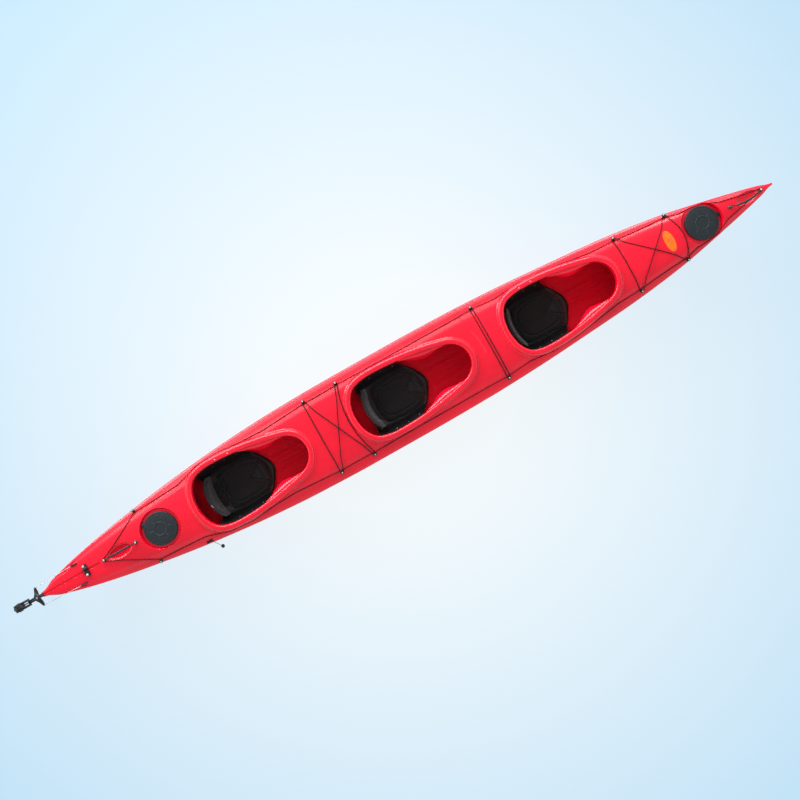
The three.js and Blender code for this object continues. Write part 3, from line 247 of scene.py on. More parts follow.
def steel_material(name):
    """Brushed stainless steel with fine lines and faint smudges."""
    g = Graph(name)
    lines = g.noise(300, 4, 0.6, g.mapped((0.05, 1, 1)))
    smudge = g.noise(30, 3)
    color = g.ramp(smudge, [(0.3, (0.5, 0.51, 0.52)), (0.7, (0.66, 0.67, 0.68))])
    rough = g.math("ADD", g.span(lines, 0.2, 0.34), g.span(smudge, 0, 0.1))
    return g.finish(Base_Color=color, Roughness=rough, Metallic=1.0, Normal=g.bump(lines, 0.0001, 0.4))


def foam_material(name):
    """Closed-cell foam: small cells and soft lumps."""
    g = Graph(name)
    cells = g.add("ShaderNodeTexVoronoi", {"Vector": g.place, "Scale": 260.0}).outputs["Distance"]
    color = g.ramp(cells, [(0.1, (0.018, 0.02, 0.022)), (0.7, (0.045, 0.048, 0.052))])
    return g.finish(Base_Color=color, Roughness=0.95, Normal=g.bump(cells, 0.0008, 0.6))


SHELL = shell_material("red_shell", (0.9, 0.003, 0.026))
# The inside of the hull: the shell's red painted a little lighter, as painted light that brightens the shaded
# footwells
LIGHTENED_LINING = shell_material("red_lining_painted_light", (0.98, 0.0035, 0.028), 0.0, 0.12, 0.3)
RUBBER = rubber_material("hatch_rubber", (0.006, 0.0105, 0.014))
# The hatch rubber painted lighter, as a painted highlight for the raised ring and spokes
RIB_HIGHLIGHT_RUBBER = rubber_material("rib_rubber_painted_highlight", (0.022, 0.032, 0.037))
SEAT_PLASTIC = plastic_material("seat_plastic", (0.008, 0.008, 0.009))
FITTING = plastic_material("fitting_plastic", (0.007, 0.007, 0.008), 0.36)
BLADE = plastic_material("blade_plastic", (0.01, 0.01, 0.012), 0.3)
PAD = fabric_material("pad_fabric", (0.0035, 0.0035, 0.004))
BAND = fabric_material("band_fabric", (0.0035, 0.005, 0.006))
BADGE = plastic_material("badge_film", (0.86, 0.13, 0.006), 0.3)
PATCH = fabric_material("patch_fabric", (0.009, 0.0125, 0.015), 600.0)
TAG = fabric_material("tag_fabric", (0.24, 0.25, 0.25), 900.0)
STRAP = fabric_material("webbing", (0.012, 0.012, 0.013), 900.0)
CORD = cord_material("braided_cord", (0.011, 0.0008, 0.0016))
STEEL = steel_material("brushed_steel")
FOAM = foam_material("foam")

FINISH = {
    "shell": SHELL, "hatch_rubber": RUBBER, "seat_plastic": SEAT_PLASTIC, "pad_fabric": PAD, "fitting": FITTING,
    "blade": BLADE, "steel": STEEL, "cord": CORD, "foam": FOAM,
}
SLOT_OF = {part["node"]: part["material_slot"] for part in frame["record"]["subparts"]}
MADE = set()
BODY_OF = {name: body for body, names in frame["record"]["behaviour"]["bodies"].items() for name in names}


# Pieces

WELD = 1e-5
CAD_SHARP = math.radians(32)
MADE_SHARP = math.radians(50)


def link(name, mesh, material):
    piece = bpy.data.objects.new(name, mesh)
    scene.collection.objects.link(piece)
    mesh.materials.clear()
    mesh.materials.append(material)
    return piece


def shade(mesh, sharp):
    mesh.shade_smooth()
    mesh.set_sharp_from_angle(angle=sharp)


def stand_for(piece, node):
    """The piece rides where the CAD node does and replaces it."""
    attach(piece, BODY_OF[node])
    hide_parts(node)
    MADE.add(node)
    return piece


def smooth_copy(node):
    """The CAD shape with smooth shading between its sharp edges."""
    work = bmesh.new()
    work.from_mesh(nodes[node].data)
    bmesh.ops.remove_doubles(work, verts=work.verts, dist=WELD)
    mesh = bpy.data.meshes.new(f"{node}_look")
    work.to_mesh(mesh)
    work.free()
    shade(mesh, CAD_SHARP)
    stand_for(link(f"{node}_look", mesh, FINISH[SLOT_OF[node]]), node)


# The lines of the boat, in metres from the stern tip, as the solids have them

HALF_BEAM = 0.347
SHEER_HEIGHT = 0.265
STERN_SHEER_RISE = 0.19
BOW_SHEER_RISE = 0.215
STERN_KEEL_RISE = 0.33
BOW_KEEL_RISE = 0.42
DECK_CROWN = 0.065
WALL = 0.005
SEAM = 0.0003
BEAM_SHARES = [
    (0, 0.06), (0.017, 0.18), (0.069, 0.415), (0.138, 0.63), (0.207, 0.793), (0.276, 0.907), (0.345, 0.974),
    (0.42, 1), (0.5, 1), (0.586, 0.98), (0.655, 0.928), (0.724, 0.843), (0.793, 0.742), (0.862, 0.585),
    (0.931, 0.337), (0.983, 0.11), (1, 0.023)]
STERN_SHEER_SHARES = [(0, 1), (0.034, 0.76), (0.069, 0.56), (0.155, 0.26), (0.26, 0.08), (0.42, 0)]
BOW_SHEER_SHARES = [(0.58, 0), (0.741, 0.14), (0.845, 0.36), (0.931, 0.66), (1, 1)]
STERN_KEEL_SHARES = [(0, 1), (0.01, 0.72), (0.026, 0.46), (0.055, 0.24), (0.1, 0.11), (0.16, 0.04), (0.26, 0)]
BOW_KEEL_SHARES = [(0.72, 0), (0.828, 0.036), (0.897, 0.12), (0.948, 0.31), (0.983, 0.66), (1, 1)]
CROWN_SHARES = [(0, 0.18), (0.056, 0.4), (0.12, 0.8), (0.2, 1), (0.8, 1), (0.9, 0.85), (0.97, 0.45), (1, 0.15)]
DECK_SHARES = [(0, 1), (0.35, 0.93), (0.63, 0.75), (0.8, 0.46), (0.985, 0.12), (1, 0)]


def smooth_share(table, at_share):
    """Smooth values from a table of shares, with no overshoot between its points."""
    xs = np.array([row[0] for row in table], float)
    ys = np.array([row[1] for row in table], float)
    steps = np.diff(ys) / np.diff(xs)
    slopes = np.zeros(len(xs))
    for i in range(1, len(xs) - 1):
        before, after = steps[i - 1], steps[i]
        slopes[i] = 0 if before * after <= 0 else 2 * before * after / (before + after)
    x = np.clip(np.asarray(at_share, float), xs[0], xs[-1])
    right = np.clip(np.searchsorted(xs, x, side="right"), 1, len(xs) - 1)
    gap = xs[right] - xs[right - 1]
    t = (x - xs[right - 1]) / gap
    pull = slopes[right - 1] * t * (1 - t) ** 2 - slopes[right] * t * t * (1 - t)
    return ys[right - 1] + (ys[right] - ys[right - 1]) * t * t * (3 - 2 * t) + gap * pull


def half_width(s):
    return HALF_BEAM * smooth_share(BEAM_SHARES, np.asarray(s) / HULL_LENGTH)


def sheer(s):
    share = np.asarray(s) / HULL_LENGTH
    return (SHEER_HEIGHT + STERN_SHEER_RISE * smooth_share(STERN_SHEER_SHARES, share)
            + BOW_SHEER_RISE * smooth_share(BOW_SHEER_SHARES, share))


def keel(s):
    share = np.asarray(s) / HULL_LENGTH
    return (STERN_KEEL_RISE * smooth_share(STERN_KEEL_SHARES, share)
            + BOW_KEEL_RISE * smooth_share(BOW_KEEL_SHARES, share))


def crown(s):
    return DECK_CROWN * smooth_share(CROWN_SHARES, np.asarray(s) / HULL_LENGTH)


def deck_height(s, y):
    out = np.clip(np.abs(y) / half_width(s), 0, 1)
    return sheer(s) + SEAM + crown(s) * smooth_share(DECK_SHARES, out)


def ridge(s):
    return sheer(s) + SEAM + crown(s)


def smoothstep(value, low, high):
    t = np.clip((value - low) / (high - low), 0, 1)
    return t * t * (3 - 2 * t)


def lower_of(a, b, round_by):
    """The lower of two heights, with the corner between them rounded."""
    h = np.clip(0.5 + 0.5 * (b - a) / round_by, 0, 1)
    return b * (1 - h) + a * h - round_by * h * (1 - h)


def turns(count):
    return np.linspace(0, 2 * math.pi, count + 1)[:-1]


def grid_of(rows, columns):
    return np.meshgrid(rows, columns, indexing="ij")


def left_of(loop):
    """Directions to the left of the way along a closed flat loop."""
    run = np.roll(loop, -1, 0) - np.roll(loop, 1, 0)
    run /= np.linalg.norm(run, axis=1)[:, None]
    return np.stack([-run[:, 1], run[:, 0]], 1)


def grid_mesh(places, loop_rows=False, closed=False, keep=None):
    """A mesh over a grid of places shaped (rows, columns, 3). Closed joins the last column to the first, and
    keep drops the cells where it is False."""
    rows, columns = places.shape[:2]
    flat = places.reshape(-1, 3) - np.array([CENTRE, 0, 0])
    r = np.arange(rows if loop_rows else rows - 1)
    c = np.arange(columns if closed else columns - 1)
    r, c = grid_of(r, c)
    if keep is not None:
        r, c = r[keep], c[keep]
    r, c = r.ravel(), c.ravel()
    r2, c2 = (r + 1) % rows, (c + 1) % columns
    faces = np.stack([r * columns + c, r2 * columns + c, r2 * columns + c2, r * columns + c2], 1)
    used, faces = np.unique(faces, return_inverse=True)
    mesh = bpy.data.meshes.new("grid")
    mesh.from_pydata(flat[used].tolist(), [], faces.reshape(-1, 4).tolist())
    return mesh


def sheet(x, y, z, **how):
    return grid_mesh(np.stack(np.broadcast_arrays(x, y, z), 2), **how)


# Cockpits: where each opening starts and ends, and where its seat ends

COCKPIT_LENGTHS = {"stern": 0.878, "middle": 0.92, "bow": 0.838}
COCKPIT_STARTS = {"stern": 0.2069, "middle": 0.42828, "bow": 0.64379}
SEAT_SET_BACKS = {"stern": 0.066, "middle": 0.084, "bow": 0.025}
SEAT_LENGTH = 0.5
AFT = {name: HULL_LENGTH * COCKPIT_STARTS[name] for name in COCKPITS}
FORE = {name: AFT[name] + COCKPIT_LENGTHS[name] for name in COCKPITS}
FRONT = {name: AFT[name] + SEAT_SET_BACKS[name] + SEAT_LENGTH for name in COCKPITS}
COCKPIT_HALF = 0.22
COCKPIT_SHARES = [
    (0, 0), (0.008, 0.32), (0.033, 0.6), (0.085, 0.85), (0.17, 0.97), (0.31, 1), (0.53, 0.93), (0.8, 0.73),
    (0.92, 0.57), (0.98, 0.32), (1, 0)]
LIP_RISE = 0.022
LIP_SAG = 0.012
OUTLINE_STEPS = 220
CURVE_STEPS = 40


def closed_curve(points, steps):
    """Even places and outward directions along a rounded loop through flat points."""
    count = len(points)
    fine = []
    for i in range(count):
        p0, p1, p2, p3 = (np.array(points[(i + k) % count], float) for k in (-1, 0, 1, 2))
        d1, d2, d3 = (max(np.linalg.norm(b - a), 1e-9) ** 0.5 for a, b in ((p0, p1), (p1, p2), (p2, p3)))
        t1 = ((p1 - p0) / d1 - (p2 - p0) / (d1 + d2) + (p2 - p1) / d2) * d2
        t2 = ((p2 - p1) / d2 - (p3 - p1) / (d2 + d3) + (p3 - p2) / d3) * d2
        t = np.linspace(0, 1, CURVE_STEPS, endpoint=False)[:, None]
        fine.append(p1 + t1 * t + (-3 * p1 + 3 * p2 - 2 * t1 - t2) * t ** 2 + (2 * p1 - 2 * p2 + t1 + t2) * t ** 3)
    fine = np.concatenate(fine)
    ends = np.roll(fine, -1, 0)
    lengths = np.concatenate([[0], np.cumsum(np.linalg.norm(ends - fine, axis=1))])
    even = np.linspace(0, lengths[-1], steps, endpoint=False)
    closed = np.vstack([fine, fine[:1]])
    places = np.stack([np.interp(even, lengths, closed[:, k]) for k in (0, 1)], 1)
    return places, left_of(places)


def cockpit_station(name, share):
    return AFT[name] + (FORE[name] - AFT[name]) * share


def cockpit_share(name, x):
    return (x - AFT[name]) / (FORE[name] - AFT[name])


def cockpit_half(share):
    return COCKPIT_HALF * smooth_share(COCKPIT_SHARES, share)


def cockpit_outline(name):
    half = [(cockpit_station(name, along), COCKPIT_HALF * out) for along, out in COCKPIT_SHARES]
    return closed_curve(half + [(x, -y) for x, y in reversed(half[1:-1])], OUTLINE_STEPS)


def inside(x, y, loop):
    """Which of the points lie inside a flat loop."""
    hit = np.zeros(x.shape, bool)
    ends = np.roll(loop, -1, 0)
    for (x0, y0), (x1, y1) in zip(loop, ends):
        if y0 != y1:
            crosses = (y0 > y) != (y1 > y)
            hit ^= crosses & (x < (x1 - x0) * (y - y0) / (y1 - y0) + x0)
    return hit


def lip_top(x, y):
    return ridge(x) + LIP_RISE - LIP_SAG * (y / COCKPIT_HALF) ** 2


# Deck skin: one fine grid, open under every patch that is laid into it

LIP_WIDTH = 0.044
LIP_APRON = 0.067
HOLE_REACH = 0.045
HOLE_SIDE = 0.03
UNDER_LIP = 0.012
LIP_HEM = (0.006, 0.005)
PATCH_LIFT = 0.0002
LIP_TOP_SECTION = [
    (0.005, -0.014), (0.005, -0.058), (0.0, -0.058), (0.0, -0.034), (0.0, -0.014), (0.0012, -0.0085),
    (0.004, -0.0042), (0.0085, -0.0014), (0.014, -0.0002), (0.021, 0.0), (0.028, -0.0006), (0.034, -0.0026),
    (0.039, -0.0066), (0.0425, -0.0118), (LIP_WIDTH, -0.017)]
APRON_SHARES = [(0.03, 0.75), (0.08, 0.35), (0.15, 0.08), (0.25, 0.0), (0.5, 0.0), (0.75, 0.0), (1.0, 0.0)]

HATCH_STATIONS = {"stern": 0.1557 * HULL_LENGTH, "bow": 0.90828 * HULL_LENGTH}
HATCH_RADIUS = 0.12
RECESS_RADIUS = 0.142
RECESS_DEPTH = 0.024
RECESS_SHOULDER = 0.005
RECESS_HEM = 0.008
HATCH_PATCH = 0.168
RECESS_RADII = [
    0.0985, 0.0985, 0.101, 0.112, 0.124, 0.132, *np.linspace(0.134, 0.15, 33), 0.153, 0.157, 0.162, HATCH_PATCH]
EDGE_SHARE = 0.994

GRIPS = {"stern": (0.0798 * HULL_LENGTH, 0.247), "bow": (0.94397 * HULL_LENGTH, 0.227)}
DISH_LENGTH_SHARE = 0.38
DISH_WIDTH_SHARE = 0.2
DISH_DEPTH = 0.02
DISH_PATCH = 1.34
DISH_SHARES = np.concatenate([np.linspace(0.02, 0.86, 18), np.linspace(0.89, 1.12, 16), [1.2, DISH_PATCH]])

BLADE_GROOVE_END = 0.424
BLADE_GROOVE_HALF = 0.007
BLADE_GROOVE_DEPTH = 0.009
BLADE_GROOVE_ROUND = (0.004, 0.0015)
CREASES = [(3.52, 1.1, -0.07, 0.16), (4.68, -1.6, -0.02, 0.125)]
CREASE_DEPTH = 0.0028
CREASE_HALF = 0.0055
CREASE_FADE = 0.03
CABLE_SLOT = [(0.18, 0.062), (0.285, 0.093)]
CABLE_SLOT_DEPTH = 0.005
CABLE_SLOT_HALF = 0.0085
CABLE_SLOT_FADES = (0.02, 0.006)

# Runs of rows along the deck, finer where it bends and at the creases: from, to and count
DECK_RUNS = [(0, HULL_LENGTH, 641), (0, 0.45, 151), (5.4, HULL_LENGTH, 81), (3.47, 3.55, 33), (4.66, 4.73, 33)]
DECK_COLUMNS = 145
EDGE_PACKING = 0.86


def offset_loop(name, reach):
    places, out = cockpit_outline(name)
    return places + out * reach


def groove_near(distance, half):
    return 1 - smoothstep(np.abs(distance), half * 0.3, half)


def deck_detail(x, y):
    """Depth of the small moulded grooves."""
    extra = np.zeros(np.shape(x))
    for station, sweep, low, high in CREASES:
        away = x - station + sweep * y ** 2
        window = smoothstep(y, low, low + CREASE_FADE) * (1 - smoothstep(y, high - CREASE_FADE, high))
        extra = extra + CREASE_DEPTH * groove_near(away, CREASE_HALF) * window
    (slot_x, slot_y), (stop_x, stop_y) = CABLE_SLOT
    across = np.abs(y) - slot_y - (x - slot_x) * (stop_y - slot_y) / (stop_x - slot_x)
    window = smoothstep(x, slot_x - CABLE_SLOT_FADES[0], slot_x) * (
        1 - smoothstep(x, stop_x - CABLE_SLOT_FADES[1], stop_x))
    extra = extra + CABLE_SLOT_DEPTH * groove_near(across, CABLE_SLOT_HALF) * window
    end, side = BLADE_GROOVE_ROUND
    groove = (1 - smoothstep(np.abs(y), BLADE_GROOVE_HALF - side, BLADE_GROOVE_HALF + side)) * (
        1 - smoothstep(x, BLADE_GROOVE_END - end, BLADE_GROOVE_END + end))
    return BLADE_GROOVE_DEPTH * groove + extra


def deck_surface(x, y):
    return deck_height(x, y) - deck_detail(x, y)


def deck_skin():
    """The open deck, with its columns packed towards the edges."""
    stations = np.unique(np.concatenate([np.linspace(*run) for run in DECK_RUNS]))
    edge = np.sin(np.linspace(-1, 1, DECK_COLUMNS) * math.pi / 2 * EDGE_PACKING)
    edge /= math.sin(math.pi / 2 * EDGE_PACKING)
    x = np.repeat(stations[:, None], len(edge), 1)
    y = half_width(x) * edge[None, :]
    z = deck_surface(x, y)
    middle_x = (x[1:, 1:] + x[:-1, :-1]) / 2
    middle_y = (y[1:, 1:] + y[:-1, :-1]) / 2
    keep = np.ones(middle_x.shape, bool)
    for name in COCKPITS:
        keep &= ~inside(middle_x, middle_y, offset_loop(name, HOLE_REACH))
    for station in HATCH_STATIONS.values():
        keep &= np.hypot(middle_x - station, middle_y) > (RECESS_RADIUS + HATCH_PATCH) / 2
    for start, length in GRIPS.values():
        along = (middle_x - start - length / 2) / (length * DISH_LENGTH_SHARE)
        across = middle_y / (length * DISH_WIDTH_SHARE)
        keep &= np.hypot(along, across) > (1 + DISH_PATCH) / 2
    return sheet(x, y, z, keep=keep)


def end_cap(station):
    """Closes the deck's end above the sheer line."""
    across = np.linspace(-1, 1, 33) * half_width(station)
    x = np.full_like(across, station)
    levels = deck_height(x, across), np.full_like(across, sheer(station) + SEAM)
    return grid_mesh(np.stack([np.column_stack([x, across, z]) for z in levels]))


def coaming(name):
    """The raised lip of a cockpit, its apron over the deck and its tucked hem."""
    places, out = cockpit_outline(name)
    rows = []
    for across, up in LIP_TOP_SECTION:
        spot = places + out * across
        rows.append(np.column_stack([spot, lip_top(*places.T) + up]))
    edge = rows[-1][:, 2]
    for along, share in APRON_SHARES:
        spot = places + out * (LIP_WIDTH + (LIP_APRON - LIP_WIDTH) * along)
        side = half_width(spot[:, 0]) * EDGE_SHARE
        spot[:, 1] = np.clip(spot[:, 1], -side, side)
        level = deck_surface(*spot.T) + PATCH_LIFT
        rows.append(np.column_stack([spot, level + (edge - level) * share]))
    last = rows[-1].copy()
    last[:, :2] -= out * LIP_HEM[0]
    last[:, 2] -= LIP_HEM[1]
    rows += [last, np.column_stack([places + out * HOLE_SIDE, lip_top(*places.T) - UNDER_LIP])]
    return grid_mesh(np.stack(rows, 1), loop_rows=True, closed=True)


def hatch_floor(station):
    return float(min(ridge(station - HATCH_RADIUS), ridge(station + HATCH_RADIUS))) - RECESS_DEPTH


def hatch_patch(name):
    """The round recess a hatch rim stands in."""
    station = HATCH_STATIONS[name]
    radii, turn = np.array(RECESS_RADII), turns(144)
    x = station + radii[:, None] * np.cos(turn)
    y = radii[:, None] * np.sin(turn)
    y = np.clip(y, -half_width(x) * EDGE_SHARE, half_width(x) * EDGE_SHARE)
    deck = deck_surface(x, y)
    wall = smoothstep(radii, RECESS_RADIUS - 0.004, RECESS_RADIUS + RECESS_SHOULDER)[:, None]
    z = lower_of(deck, hatch_floor(station), 0.004) * (1 - wall) + deck * wall + PATCH_LIFT
    z[0] -= RECESS_HEM
    return sheet(x, y, z, closed=True)


def dish_patch(name):
    """The hollow for the fingers under a handle."""
    start, length = GRIPS[name]
    middle = start + length / 2
    shares, turn = DISH_SHARES, turns(96)
    x = middle + length * DISH_LENGTH_SHARE * shares[:, None] * np.cos(turn)
    y = length * DISH_WIDTH_SHARE * shares[:, None] * np.sin(turn)
    egg = (float(ridge(middle)) - DISH_DEPTH * np.sqrt(np.clip(1 - shares ** 2, 0, 1))
           + np.maximum(shares - 1, 0) * 0.1)
    z = lower_of(deck_surface(x, y), np.repeat(egg[:, None], len(turn), 1), 0.003) + PATCH_LIFT
    rows = np.stack([x, y, z], 2)
    centre = np.repeat(rows[:1].mean(1, keepdims=True), len(turn), 1)
    return grid_mesh(np.concatenate([centre, rows]), closed=True)


THIGH_SPAN = (0.5, 0.86)
THIGH_REACH = 0.042
THIGH_DROP = 0.046
THIGH_WALL = 0.006
THIGH_ROOT_WALL = 0.01
THIGH_NOSE = 0.0016
THIGH_BEND = 2.2


def thigh_brace(name, side):
    """A curved wing under the side of a coaming, which the thigh presses on."""
    share = np.linspace(0, 1, 41)
    length = THIGH_SPAN[0] + (THIGH_SPAN[1] - THIGH_SPAN[0]) * share
    x = cockpit_station(name, length)
    y = side * cockpit_half(length)
    swell = np.sin(math.pi * share) ** 2
    top = lip_top(x, y) - UNDER_LIP
    root = y + side * WALL / 2
    reach = y - side * (WALL + THIGH_REACH * swell)
    across = np.linspace(0, 1, 9)
    ring = [(root + (reach - root) * a, top - THIGH_DROP * swell * a ** THIGH_BEND - 0.0004) for a in across]
    ring.append((reach - side * THIGH_NOSE, ring[-1][1] - THIGH_WALL / 2))
    ring += [(root + (reach - root) * a, top - THIGH_DROP * swell * a ** THIGH_BEND - THIGH_WALL
              - THIGH_ROOT_WALL * (1 - a)) for a in np.linspace(1, 0, 9)]
    rows = np.stack([np.column_stack([x, ring_y, ring_z]) for ring_y, ring_z in ring], 1)
    return grid_mesh(rows, closed=True)


# Hull: outer and inner skin, with ribs along the footwell floors

FLAT_SHARE = 0.3
FLAT_END_SHARE = 0.04
BILGE_POWER = 0.78
RIB_PLACES = [-0.105, -0.035, 0.035, 0.105]
RIB_HALF = 0.033
RIB_HEIGHT = 0.006
HULL_RUNS = [(0, HULL_LENGTH, 361), (0, 0.12, 17), (5.68, HULL_LENGTH, 17)]
SIDE_STEPS = 26
BOTTOM_STEPS = 29


def hull_rows(stations, inset):
    """Cross sections: a flat bottom, a rounded bilge and a side up to the sheer line."""
    sharp = np.abs(2 * stations / HULL_LENGTH - 1) ** 4
    width = np.maximum(half_width(stations) - inset, inset)
    flat = width * (FLAT_SHARE + (FLAT_END_SHARE - FLAT_SHARE) * sharp)
    power = BILGE_POWER + (1 + sharp / 4 - BILGE_POWER) * sharp
    bottom = keel(stations) + inset
    depth = sheer(stations) - bottom
    angle = (np.linspace(0, 1, SIDE_STEPS) ** 0.9 * math.pi / 2)[None, :]
    y = flat[:, None] + (width - flat)[:, None] * np.sin(angle) ** power[:, None]
    z = bottom[:, None] + depth[:, None] * (1 - np.cos(angle) ** power[:, None])
    inner = (np.linspace(-1, 1, BOTTOM_STEPS)[None, :] * flat[:, None])[:, 1:-1]
    y = np.concatenate([-y[:, ::-1], inner, y], 1)
    z = np.concatenate([z[:, ::-1], np.repeat(bottom[:, None], BOTTOM_STEPS - 2, 1), z], 1)
    return np.stack([np.repeat(stations[:, None], y.shape[1], 1), y, z], 2)


def floor_ribs(x, y):
    """Height of the ribs on the footwell floors."""
    height = np.zeros(x.shape)
    for name in COCKPITS:
        window = smoothstep(x, FRONT[name] - 0.02, FRONT[name] + 0.03) * (
            1 - smoothstep(x, FORE[name] + 0.02, FORE[name] + 0.08))
        for place in RIB_PLACES:
            height += window * RIB_HEIGHT * (1 - smoothstep(np.abs(y - place), 0, RIB_HALF))
    return height


def hull_skins():
    """The outside with its rim, and the inside with the ribs of the floor."""
    stations = np.unique(np.concatenate([np.linspace(*run) for run in HULL_RUNS]))
    outer = hull_rows(stations, 0.0)
    inner = hull_rows(stations, WALL)
    inner[:, :, 2] += floor_ribs(inner[:, :, 0], inner[:, :, 1])
    shell = np.concatenate([inner[:, :1], outer, inner[:, -1:]], 1)
    return grid_mesh(shell), grid_mesh(inner[:, ::-1])


def hull_end(station):
    """A closed end plate."""
    row = hull_rows(np.array([float(station)]), 0.0)[0]
    level = np.repeat(row[None], 2, 0)
    level[1, :, 2] = sheer(station)
    return grid_mesh(level)


def joined(name, meshes, material, node=None):
    """One piece from several meshes."""
    work = bmesh.new()
    for mesh in meshes:
        work.from_mesh(mesh)
    whole = bpy.data.meshes.new(name)
    work.to_mesh(whole)
    work.free()
    shade(whole, MADE_SHARP)
    piece = link(name, whole, material)
    return stand_for(piece, node) if node else piece


def added(name, meshes, material, body):
    """An extra piece, which stands for no CAD node."""
    piece = joined(name, meshes, material)
    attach(piece, body)


joined("deck_look", [
    deck_skin(), end_cap(0.0), end_cap(HULL_LENGTH), *(coaming(name) for name in COCKPITS),
    *(hatch_patch(name) for name in HATCH_STATIONS), *(dish_patch(name) for name in GRIPS),
    *(thigh_brace(name, side) for name in COCKPITS for side in SIDES)], SHELL, "deck")
outside, inside_skin = hull_skins()
joined("hull_look", [outside, hull_end(0.0), hull_end(HULL_LENGTH)], SHELL, "hull")
# The lining wears the lighter red, painted light for the shaded footwells
added("hull_lining", [inside_skin], LIGHTENED_LINING, "boat")


# Seats: moulded pans, sewn pads and back bands

PAN_FLOOR = 0.024
PAN_CHEEK_DROP = 0.034
PAN_SECTION = [(0, 0, 0), (0.42, 0.5, 0), (0.58, 0.24, 0.1), (0.74, 0.09, 0.36), (0.88, 0.02, 0.72), (1, 0, 1)]
PAN_FLAT = PAN_SECTION[1][0]
PAN_OVERLAP = 0.0015
PAN_THICKNESS = 0.0045
PAN_LIP = (0.965, 0.012)
PAN_NOSE_HALF = 0.31
PAD_HALF_WIDTH = 0.168
PAD_HALF_LENGTH = 0.205
PAD_BACK = 0.233
PAD_THICKNESS = 0.04
PAD_CORNER = 0.2
PAD_SEAM = 0.008
PAD_PUFF = 0.0045
PAD_LOW = PAN_FLOOR + 0.0053
PAD_FILL = 0.78
PAD_CAP = 0.007
BACK_CAP = 0.004
CLOTH_VOXEL = 0.005
CLOTH_PRESSURE = 4.0
CLOTH_FRAMES = 20
BACK_AXIS = 0.034
BACK_LEVEL = 0.112
BACK_HEIGHT = 0.158
BACK_HALF_WIDTH = 0.158
BACK_THICKNESS = 0.026
BACK_SWEEP = 0.046
BACK_LEAN = 0.2
BACK_PIN = 0.005
TAG_BACK = 0.026
TAG_SIDE = -0.045
TAG_LIFT = 0.0008
TAG_SLANT = 0.3
RIVET_PLACES = [(-0.07, 0.9), (-0.19, 0.93), (-0.32, 0.93)]
PAD_MIDDLE = {name: FRONT[name] - PAD_BACK for name in COCKPITS}
BACK_AT = {name: FRONT[name] - SEAT_LENGTH + BACK_AXIS for name in COCKPITS}

# The stitched lines of a pad, from its middle: an oval, a line inside it and three lines outside it
OVAL_MIDDLE = -0.012
OVAL_HALF = (0.15, 0.118)
OVAL_POWER = 3.4
INNER_SEAM = ((0.012, 0), (0.055, 0))
OUTER_SEAMS = [((0.055, 0), (0.165, 0.085)), ((0.055, 0), (0.165, -0.085)), ((-0.15, 0), (-0.19, 0))]
SEAM_HALF = 0.0042
SEAM_REACH = 0.02
WRINKLES = [(61, 38, 0.4), (-47, 83, 1.9), (112, -29, 2.7), (-90, -118, 4.1)]
WRINKLE_DEPTH = 0.0004
PATCH_SPAN = (0.066, 0.172)
PATCH_APEX = 0.058
PATCH_SPREAD = 0.7
PATCH_STEPS = 25
WEBBING_SECTION = [(0.0008, -0.013), (-0.0018, -0.012), (-0.0022, 0), (-0.0018, 0.012), (0.0008, 0.013)]
PIN_ROUND = 0.0008


def pan_point(name, u, v, lift=0.0):
    """Places on a pan: u runs forward, v across."""
    p = np.abs(v)
    inward = smooth_share([row[:2] for row in PAN_SECTION], p)
    rise = smooth_share([row[::2] for row in PAN_SECTION], p)
    out = np.where(p < PAN_FLAT, COCKPIT_HALF * 0.5 * p / PAN_FLAT, COCKPIT_HALF * (1 - inward))
    x = FRONT[name] - SEAT_LENGTH + SEAT_LENGTH * np.sqrt(1 - (out / PAN_NOSE_HALF) ** 2) * u
    width = cockpit_half(cockpit_share(name, x)) + PAN_OVERLAP
    y = np.where(p < PAN_FLAT, (width - COCKPIT_HALF * 0.5) * np.minimum(p / PAN_FLAT, 1),
                 width - COCKPIT_HALF * inward)
    top = lip_top(x, COCKPIT_HALF) - PAN_CHEEK_DROP
    fall = 1 - 0.5 * smoothstep(x, FRONT[name] - 0.2, FRONT[name])
    z = PAN_FLOOR + (top - PAN_FLOOR) * rise * fall - PAN_LIP[1] * smoothstep(u, PAN_LIP[0], 1.0) + lift
    return np.stack([x, np.sign(v) * y, z], -1)


def seat_pan(name):
    u, v = grid_of(np.linspace(0, 1, 61), np.linspace(-1, 1, 81))
    upper = pan_point(name, u, v, PAN_THICKNESS)
    lower = pan_point(name, u, v)
    ring = np.concatenate([upper, lower[:, ::-1]], 1)
    return [grid_mesh(ring, closed=True),
            *(grid_mesh(np.stack([upper[row], lower[row]])) for row in (0, -1))]


def segment_distance(x, y, a, b):
    ax, ay = a
    bx, by = b
    t = np.clip(((x - ax) * (bx - ax) + (y - ay) * (by - ay)) / ((bx - ax) ** 2 + (by - ay) ** 2), 0, 1)
    return np.hypot(x - ax - t * (bx - ax), y - ay - t * (by - ay))


def pad_seams(x, y):
    """Depth of the stitched lines, x forward and y across from the pad's middle."""
    oval = (np.abs((x - OVAL_MIDDLE) / OVAL_HALF[0]) ** OVAL_POWER
            + np.abs(y / OVAL_HALF[1]) ** OVAL_POWER) ** (1 / OVAL_POWER)
    near = np.minimum.reduce([
        np.abs(oval - 1) * 0.12, np.where(oval > 1, 1, segment_distance(x, y, *INNER_SEAM)),
        *(segment_distance(x, y, *seam) for seam in OUTER_SEAMS)])
    return np.exp(-(near / SEAM_HALF) ** 2), near


def pad_wrinkles(x, y, near):
    creases = sum(np.sin(x * a + y * b + c) for a, b, c in WRINKLES)
    return WRINKLE_DEPTH * creases * np.exp(-near / SEAM_REACH)


